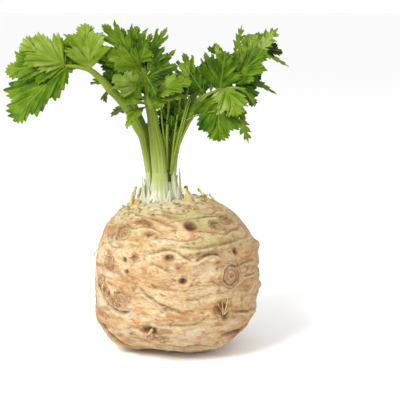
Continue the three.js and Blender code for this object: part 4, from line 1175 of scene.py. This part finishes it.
def tongue(line, across, foot_wide, tip_wide, thick=TONGUE_THICK, grid=TONGUE_GRID):
    """A dry leaf base: a channelled tongue with a ragged end."""

    def size(t):
        ragged = 1 + 0.16 * np.sin(19 * t + foot_wide) + 0.1 * np.sin(43 * t)
        close = np.sqrt(np.clip((1 - t) / 0.06, 0, 1))
        return lerp(foot_wide, tip_wide, t) * ragged * (0.35 + 0.65 * close), thick * (0.4 + 0.6 * close)

    return tube("tongue", line, grid, size, across, ribs=0.07, groove=0.6)


def by_crown(way, wide, deep):
    """The point of the plain root on an oval round the crown's axis."""
    x, y = CROWN_AXIS[0] + wide * math.cos(way), CROWN_AXIS[1] + deep * math.sin(way)
    out = math.hypot(x, y) / ROOT_RADIUS
    return vec([x, y, ROOT_CENTRE + ROOT_RISE * (1 - out**ROOT_SQUARENESS) ** (1 / ROOT_SQUARENESS)])


def flakes():
    """Small curled scraps round the foot of the crown."""
    draw = random.Random(FLAKE_SEED)
    parts = []
    for _ in range(FLAKE_COUNT):
        way, out = draw.uniform(0, 2 * math.pi), draw.triangular(*FLAKE_OUT)
        foot = by_crown(way, out, out) - FLAKE_SUNK
        long, lean = draw.uniform(*FLAKE_LENGTH), draw.uniform(*FLAKE_LEAN)
        away = vec([math.cos(way + lean), math.sin(way + lean), 0])
        tip = foot + long * (away * 0.7 + vec([0, 0, draw.uniform(*FLAKE_RISE)]))
        line = bowed(foot, tip, (0, 0, draw.uniform(*FLAKE_BOW)))
        wide = draw.uniform(*FLAKE_WIDE)
        across = vec([-away[1], away[0], 0])
        parts.append(tongue(line, across, wide, wide * 0.4, FLAKE_THICK, SMALL_GRID))
    return parts


def fibres():
    """Thin pale fibres that lean against the crown's foot."""
    draw = random.Random(FIBRE_SEED)
    parts = []
    for _ in range(FIBRE_COUNT):
        way, out = draw.uniform(0, 2 * math.pi), draw.uniform(*FIBRE_OUT)
        foot = by_crown(way, *(FIBRE_RING * out)) - FIBRE_SUNK
        inward = unit(vec([CROWN_AXIS[0] - foot[0], CROWN_AXIS[1] - foot[1], 0]))
        aside = vec([-inward[1], inward[0], 0])
        long = draw.uniform(*FIBRE_LENGTH)
        slant = inward * draw.uniform(*FIBRE_SLANT) + aside * draw.uniform(*FIBRE_ASIDE)
        wide = draw.uniform(*FIBRE_WIDE)
        line = bowed(foot, foot + vec([0, 0, long]) + slant, -0.8 * inward)
        parts.append(tongue(line, aside, wide, wide * 0.3, FIBRE_THICK, SMALL_GRID))
    return parts


def crown_piece():
    parts = [crown_core(), *fibres()]
    parts.extend(sheath(frond) for frond in FRONDS.values())
    parts.extend(torn_tip(*tip) for tip in SHEATH_TIPS)
    return join("crown_sheaths", parts)


def stubs_piece():
    parts = [tongue(bowed(foot, tip, TIP_BOW), *shape) for foot, tip, *shape in TORN_STUBS]
    return join("torn_leaf_bases", parts + flakes())


# Rootlets: foot and tip as turn, height and how far they stand off, and their thickness
ROOTLETS = [
    ((-17, 26, -1), (-19, 23, 4), 1.3), ((34, 35, -0.5), (31, 47, 1.5), 0.7),
    ((34, 36, -0.5), (28, 45, 1.2), 0.5), ((35, 36, -0.5), (36, 48, 1.2), 0.5),
    ((35, 35, -0.5), (41, 46, 1.2), 0.45), ((33, 34, -0.5), (27, 37, 1.6), 0.5),
    ((-14, 22, 0), (-8, 15, 1.6), 0.7), ((-60, 52, 0), (-57, 47, 1.8), 0.6),
    ((150, 70, 0), (146, 60, 2.5), 0.7), ((176, 30, -1), (181, 20, 3), 1.1),
    ((205, 84, 0), (209, 78, 2), 0.6), ((232, 44, 0), (238, 35, 3), 0.9),
    ((-96, 70, 0), (-92, 64, 2), 0.6), ((118, 56, 0), (122, 48, 2.2), 0.6), ((120, 12, 0), (126, 5, 3), 1.0),
]
ROOTLET_BOW = 1.2
ROOTLET_SIDE = (0.3, 0.3, 0.9)


def outward(turn):
    """The level way out of the root at a turn from the front."""
    angle = math.radians(turn)
    return vec([math.sin(angle), -math.cos(angle), 0])


def off_root(turn, z, away):
    """A point that stands off the plain surface by so much."""
    return on_root(turn, z) + away * outward(turn)


def rootlets_piece():
    parts = []
    for foot, tip, thick in ROOTLETS:
        line = bowed(off_root(*foot), off_root(*tip), ROOTLET_BOW * outward(foot[0]))
        parts.append(tube("rootlet", line, SMALL_GRID, narrowing(thick, 0.65), ROOTLET_SIDE))
    return join("rootlets", parts)


# Materials

# A colour is written as it looks in the studio's strong light, and the surface itself has this share of it
OWN_SHARE = 0.62


def tint(code):
    """A colour written as six hexadecimal digits, as the surface's own in linear light."""
    parts = [int(code[i:i + 2], 16) / 255 for i in (1, 3, 5)]
    linear = [c / 12.92 if c <= 0.04045 else ((c + 0.055) / 1.055) ** 2.4 for c in parts]
    return (*(OWN_SHARE * c for c in linear), 1.0)


class Value:
    """A number in a material. Its operators add Math nodes."""

    def __init__(self, finish, socket):
        self.finish = finish
        self.socket = socket

    def maths(self, operation, *values):
        return self.finish.node("ShaderNodeMath", {"operation": operation}, dict(enumerate(values)))

    def __add__(self, other):
        return self.maths("ADD", self, other)

    def __mul__(self, other):
        return self.maths("MULTIPLY", self, other)

    def __sub__(self, other):
        return self.maths("SUBTRACT", self, other)

    def __rsub__(self, other):
        return self.maths("SUBTRACT", other, self)

    __radd__ = __add__
    __rmul__ = __mul__

    def larger(self, other):
        return self.maths("MAXIMUM", self, other)

    def clamp(self, low, high):
        """0 below low, 1 above high and smooth between them."""
        inputs = {"Value": self, "From Min": low, "From Max": high}
        return self.finish.node("ShaderNodeMapRange", {"interpolation_type": "SMOOTHSTEP"}, inputs)


class Finish:
    """A material with one Principled shader, and the nodes that feed it."""

    def __init__(self, name, **plain):
        self.material = bpy.data.materials.new(name)
        self.material.use_nodes = True
        self.tree = self.material.node_tree
        self.shader = self.tree.nodes["Principled BSDF"]
        for socket, value in plain.items():
            self.shader.inputs[socket.replace("_", " ")].default_value = value

    def node(self, kind, settings=None, inputs=None, output=0):
        """Adds a node: its settings or a ramp's stops first, then the values or links of its sockets."""
        node = self.tree.nodes.new(kind)
        for setting, value in (settings or {}).items():
            if setting == "stops":
                self.set_stops(node.color_ramp.elements, value)
            else:
                setattr(node, setting, value)
        for socket, value in (inputs or {}).items():
            if isinstance(value, Value):
                self.tree.links.new(value.socket, node.inputs[socket])
            else:
                node.inputs[socket].default_value = value
        return Value(self, node.outputs[output])

    @staticmethod
    def set_stops(stops, wanted):
        while len(stops) < len(wanted):
            stops.new(0.5)
        for stop, (place, code) in zip(stops, wanted):
            stop.position = place
            stop.color = tint(code)

    def drive(self, socket, value):
        self.tree.links.new(value.socket, self.shader.inputs[socket])

    def place(self, stretch=(1, 1, 1)):
        """Object coordinates in metres, stretched along each axis."""
        here = self.node("ShaderNodeTexCoord", output="Object")
        return self.node("ShaderNodeMapping", {}, {"Vector": here, "Scale": stretch})

    def axis(self, letter):
        """One of the object coordinates, in metres."""
        return self.node("ShaderNodeSeparateXYZ", {}, {0: self.place()}, letter)

    def round_and_along(self, scale, shift=(0, 0, 0)):
        """The tube's own map: round it and along it."""
        around = self.node("ShaderNodeUVMap", {})
        return self.node("ShaderNodeMapping", {}, {"Vector": around, "Scale": scale, "Location": shift})

    def noise(self, scale, stretch=(1, 1, 1), detail=3.0, distortion=0.0, where=None):
        inputs = {"Vector": where or self.place(stretch), "Scale": scale, "Detail": detail}
        return self.node("ShaderNodeTexNoise", {}, {**inputs, "Distortion": distortion})

    def note(self, name):
        return self.node("ShaderNodeAttribute", {"attribute_name": name}, output="Fac")

    def layers(self, colour, *layers):
        """A colour, covered by each layer's own colour by its share, one after the other."""
        if isinstance(colour, str):
            colour = tint(colour)
        for share, code in layers:
            inputs = {0: share, 6: colour, 7: tint(code)}
            colour = self.node("ShaderNodeMix", {"data_type": "RGBA"}, inputs, 2)
        return colour

    def bump(self, height, distance, strength=1.0):
        inputs = {"Height": height, "Distance": distance, "Strength": strength}
        self.drive("Normal", self.node("ShaderNodeBump", {}, inputs))


def root_finish():
    """Cream skin with tan and orange clouds, brown in its scars, green where daylight reached it, and a darker
    tan on its right side that is partly painted shade.
    """
    skin = Finish("root_skin", Roughness=0.7)
    clouds = skin.noise(38, (1, 1, 1.6), 4, 0.6).clamp(0.42, 0.64)
    streaks = skin.noise(64, (1, 1, 3.6), 5, 1.4).clamp(0.52, 0.68)
    blotches = skin.noise(120, (1, 1, 2.2), 5, 1.0).clamp(0.53, 0.68)
    white = skin.noise(34, (1, 1, 1.9), 3, 0.8).clamp(0.5, 0.68)
    fine = skin.noise(420, (1, 1, 2.4), 3).clamp(0.4, 0.66)
    flecks = skin.noise(190, (1, 1, 1.9), 2, 0.9).clamp(0.6, 0.71)
    amber = skin.noise(44, (1, 1, 2.4), 5, 1.2).clamp(0.53, 0.68)
    # Painted shade: the right side is tinted darker tan, partly the skin's own tan and partly the shade that
    # falls on that side
    right_side_painted_shade = skin.axis("X").clamp(0.015, 0.062)
    colour = skin.layers(
        "#F0D7A6",
        (clouds, "#DDB478"),
        (white * 0.62, "#F7E9CC"),
        (right_side_painted_shade * 0.48, "#C4935A"),
        (streaks * (0.62 - 0.45 * white), "#C08040"),
        (amber * (0.62 - 0.4 * white), "#C87C30"),
        (blotches * (0.72 - 0.5 * white), "#AC6E2C"),
        (flecks * 0.75, "#B4642A"),
        (fine * (0.36 - 0.18 * white), "#A87A42"),
        (skin.note("green") * 0.66, "#BAB86C"),
        (skin.note("valley") * 0.6, "#A86C2C"),
        (skin.note("pale") * 0.8, "#EAE2B4"),
        (skin.note("brown") * (0.6 + 0.4 * fine), "#80501E"),
        (skin.note("orange") * 0.8, "#AE5C1E"),
        (skin.note("dark").clamp(0.0, 1.0) * 0.92, "#452C16"),
    )
    skin.drive("Base Color", colour)
    skin.bump(skin.noise(560, (1, 1, 1.8), 5) + skin.noise(150, (1, 1, 3), 3), 0.0006, 0.55)
    return skin.material


def sheath_finish():
    """White at the foot and pale green above, most of all in the middle, with fine lengthwise streaks."""
    sheath = Finish("sheath", Roughness=0.42)
    height = sheath.axis("Z")
    streaks = sheath.noise(420, (1, 1, 0.06), 3).clamp(0.38, 0.66)
    lobes = sheath.noise(130, (1, 1, 0.3), 2).clamp(0.4, 0.66)
    from_middle = sheath.axis("X") + 0.012
    middle = 1 - (from_middle * from_middle).clamp(0.0, 0.00004)
    rise = (height + 0.007 * lobes + 0.009 * middle).clamp(0.113, 0.134)
    foot = 1 - (height + 0.004 * sheath.noise(300, (1, 1, 1), 3)).clamp(0.1035, 0.1095)
    green = (rise, "#B4C266"), (streaks * (0.14 + 0.3 * rise), "#A2B454")
    sheath.drive("Base Color", sheath.layers("#E3E1C8", *green, (foot * 0.7, "#CDB27C")))
    sheath.bump(streaks, 0.0003, 0.5)
    return sheath.material


def stalk_finish():
    """Green with pale ribs that run along the stalk, whiter towards its foot and rusty in a few streaks."""
    stalk = Finish("stalk", Roughness=0.42, Specular_IOR_Level=0.25)
    streaks = stalk.noise(1.0, detail=4, where=stalk.round_and_along((26, 2.2, 1))).clamp(0.36, 0.66)
    wide = stalk.round_and_along((7, 1.1, 1), (3, 1, 0))
    rust = stalk.noise(1.0, detail=3, distortion=0.6, where=wide).clamp(0.6, 0.74)
    height = stalk.axis("Z")
    rise = height.clamp(0.122, 0.15)
    colour = stalk.layers(
        "#BAC66E",
        (rise, "#8AA02A"),
        (height.clamp(0.15, 0.2), "#78921E"),
        (streaks * (0.25 + 0.35 * rise), "#647E18"),
        (rust * (0.1 + 0.4 * rise), "#847636"),
    )
    stalk.drive("Base Color", colour)
    stalk.bump(streaks, 0.0003, 0.6)
    return stalk.material


# A leaflet's colour by its tone
TONES = [
    (0.0, "#1C3403"), (0.15, "#315704"), (0.3, "#4A7607"), (0.5, "#6A900F"), (0.7, "#86A628"),
    (0.85, "#9CB842"), (1.0, "#B6CA68"),
]


def leaf_finish():
    """Green by each leaflet's tone, with pale veins, a grey-green underside and light that shines through."""
    leaf = Finish("leaf", Roughness=0.5, Specular_IOR_Level=0.08)

    def stripes(number, stretch):
        """Noise that runs out from the midrib: so many stripes a lobe."""
        places = {0: leaf.note("phase") * number, 1: leaf.note("reach_mm") * stretch}
        return leaf.noise(1.0, detail=2, where=leaf.node("ShaderNodeCombineXYZ", {}, places))

    patchy = leaf.noise(85, detail=4, distortion=0.6)
    tone = leaf.note("tone") + 1.15 * (patchy - 0.5) + 0.6 * (stripes(7, 0.05) - 0.5)
    rib = 1 - leaf.note("rib_mm").clamp(0.1, 0.8)
    side = 1 - leaf.note("vein_mm").clamp(0.05, 0.5)
    fine = stripes(16, 0.08).clamp(0.5, 0.66)
    veins = rib.larger(side * 0.8).larger(fine * 0.42)
    colour = leaf.layers(
        leaf.node("ShaderNodeValToRGB", {"stops": TONES}, {0: tone}),
        (veins * 0.4, "#B0C654"),
        (leaf.note("under") * 0.4, "#9AB45E"),
        (leaf.note("stem") * 0.85, "#98AF40"),
        (leaf.note("blot") * 0.8, "#4A4412"),
    )
    leaf.drive("Base Color", colour)
    cells = {"Vector": leaf.place(), "Scale": 620}
    net = leaf.node("ShaderNodeTexVoronoi", {"feature": "DISTANCE_TO_EDGE"}, cells)
    leaf.bump(net.clamp(0.0, 0.3) * 0.5 - veins, 0.0004, 0.5)
    glow = leaf.node("ShaderNodeBsdfTranslucent", {}, {"Color": colour})
    both = leaf.node("ShaderNodeMixShader", {}, {0: 0.2, 1: Value(leaf, leaf.shader.outputs[0]), 2: glow})
    leaf.tree.links.new(both.socket, leaf.tree.nodes["Material Output"].inputs["Surface"])
    return leaf.material


def dry_finish():
    """Dry leaf bases: straw yellow, with brown streaks and brown patches."""
    dry = Finish("dry_leaf_base", Roughness=0.7)
    streaks = dry.noise(360, (1, 1, 0.12), 4, 0.4).clamp(0.4, 0.62)
    patches = dry.noise(140, detail=3).clamp(0.54, 0.68)
    dry.drive("Base Color", dry.layers("#F2E8A4", (streaks, "#CCA858"), (patches * 0.65, "#7C5226")))
    dry.bump(streaks, 0.0004, 0.7)
    return dry.material


SKIN = root_finish()
SHEATH = sheath_finish()
STALK = stalk_finish()
LEAF = leaf_finish()
DRY = dry_finish()


# The studio, in metres: lights as name, place, size and power
LIGHTS = [("key", (-0.7, -0.8, 1.0), 0.5, 20), ("fill", (0.9, -0.9, 0.5), 0.9, 2)]
LIGHT_AIM = (0, 0, 0.1)
FLOOR_SIZE = 60
FLOOR_COLOUR = (0.95, 0.95, 0.95, 1)
WHITE = (1, 1, 1, 1)
# The camera's aim, its distance and how far it looks down
AIM = (0.0166, 0, 0.107)
CAMERA_DISTANCE = 0.8
CAMERA_RISE = math.radians(10)
CAMERA_LENS = 100


def soft_light(name, place, size, power):
    """A square area light that looks at the plant."""
    light = bpy.data.lights.new(name, "AREA")
    light.size = size
    light.energy = power
    lamp = bpy.data.objects.new(name, light)
    bpy.context.collection.objects.link(lamp)
    lamp.location = place
    lamp.rotation_euler = (Vector(LIGHT_AIM) - Vector(place)).to_track_quat("-Z", "Y").to_euler()


def studio():
    deselect()
    bpy.ops.mesh.primitive_plane_add(size=FLOOR_SIZE)
    floor = bpy.context.object
    floor.name = "floor"
    floor.data.materials.append(Finish("floor", Roughness=0.6, Base_Color=FLOOR_COLOUR).material)

    world = bpy.data.worlds.new("studio")
    world.use_nodes = True
    world.node_tree.nodes["Background"].inputs["Color"].default_value = WHITE
    bpy.context.scene.world = world
    for light in LIGHTS:
        soft_light(*light)

    camera = bpy.data.objects.new("camera", bpy.data.cameras.new("camera"))
    bpy.context.collection.objects.link(camera)
    camera.data.lens = CAMERA_LENS
    back, up = CAMERA_DISTANCE * math.cos(CAMERA_RISE), CAMERA_DISTANCE * math.sin(CAMERA_RISE)
    camera.location = (AIM[0], AIM[1] - back, AIM[2] + up)
    camera.rotation_euler = (math.pi / 2 - CAMERA_RISE, 0, 0)
    bpy.context.scene.camera = camera
    bpy.context.scene.view_settings.view_transform = "Standard"


finish_piece(root_piece(), SKIN, "root_skin", "root")
finish_piece(stubs_piece(), DRY, "root_skin")
finish_piece(rootlets_piece(), DRY, "root_skin")
finish_piece(crown_piece(), SHEATH, "sheath", "crown")
for frond_name, frond_facts in FRONDS.items():
    frond_line = Line(frond_facts["line"])
    bare_stalk = stalk_piece(frond_name, frond_facts, frond_line)
    finish_piece(bare_stalk, STALK, "stalk_green", f"stalk_{frond_name}")
    leaves = leafy_piece(frond_name, frond_facts, frond_line)
    finish_piece(leaves, LEAF, "leaf_green", f"leaf_{frond_name}")

studio()
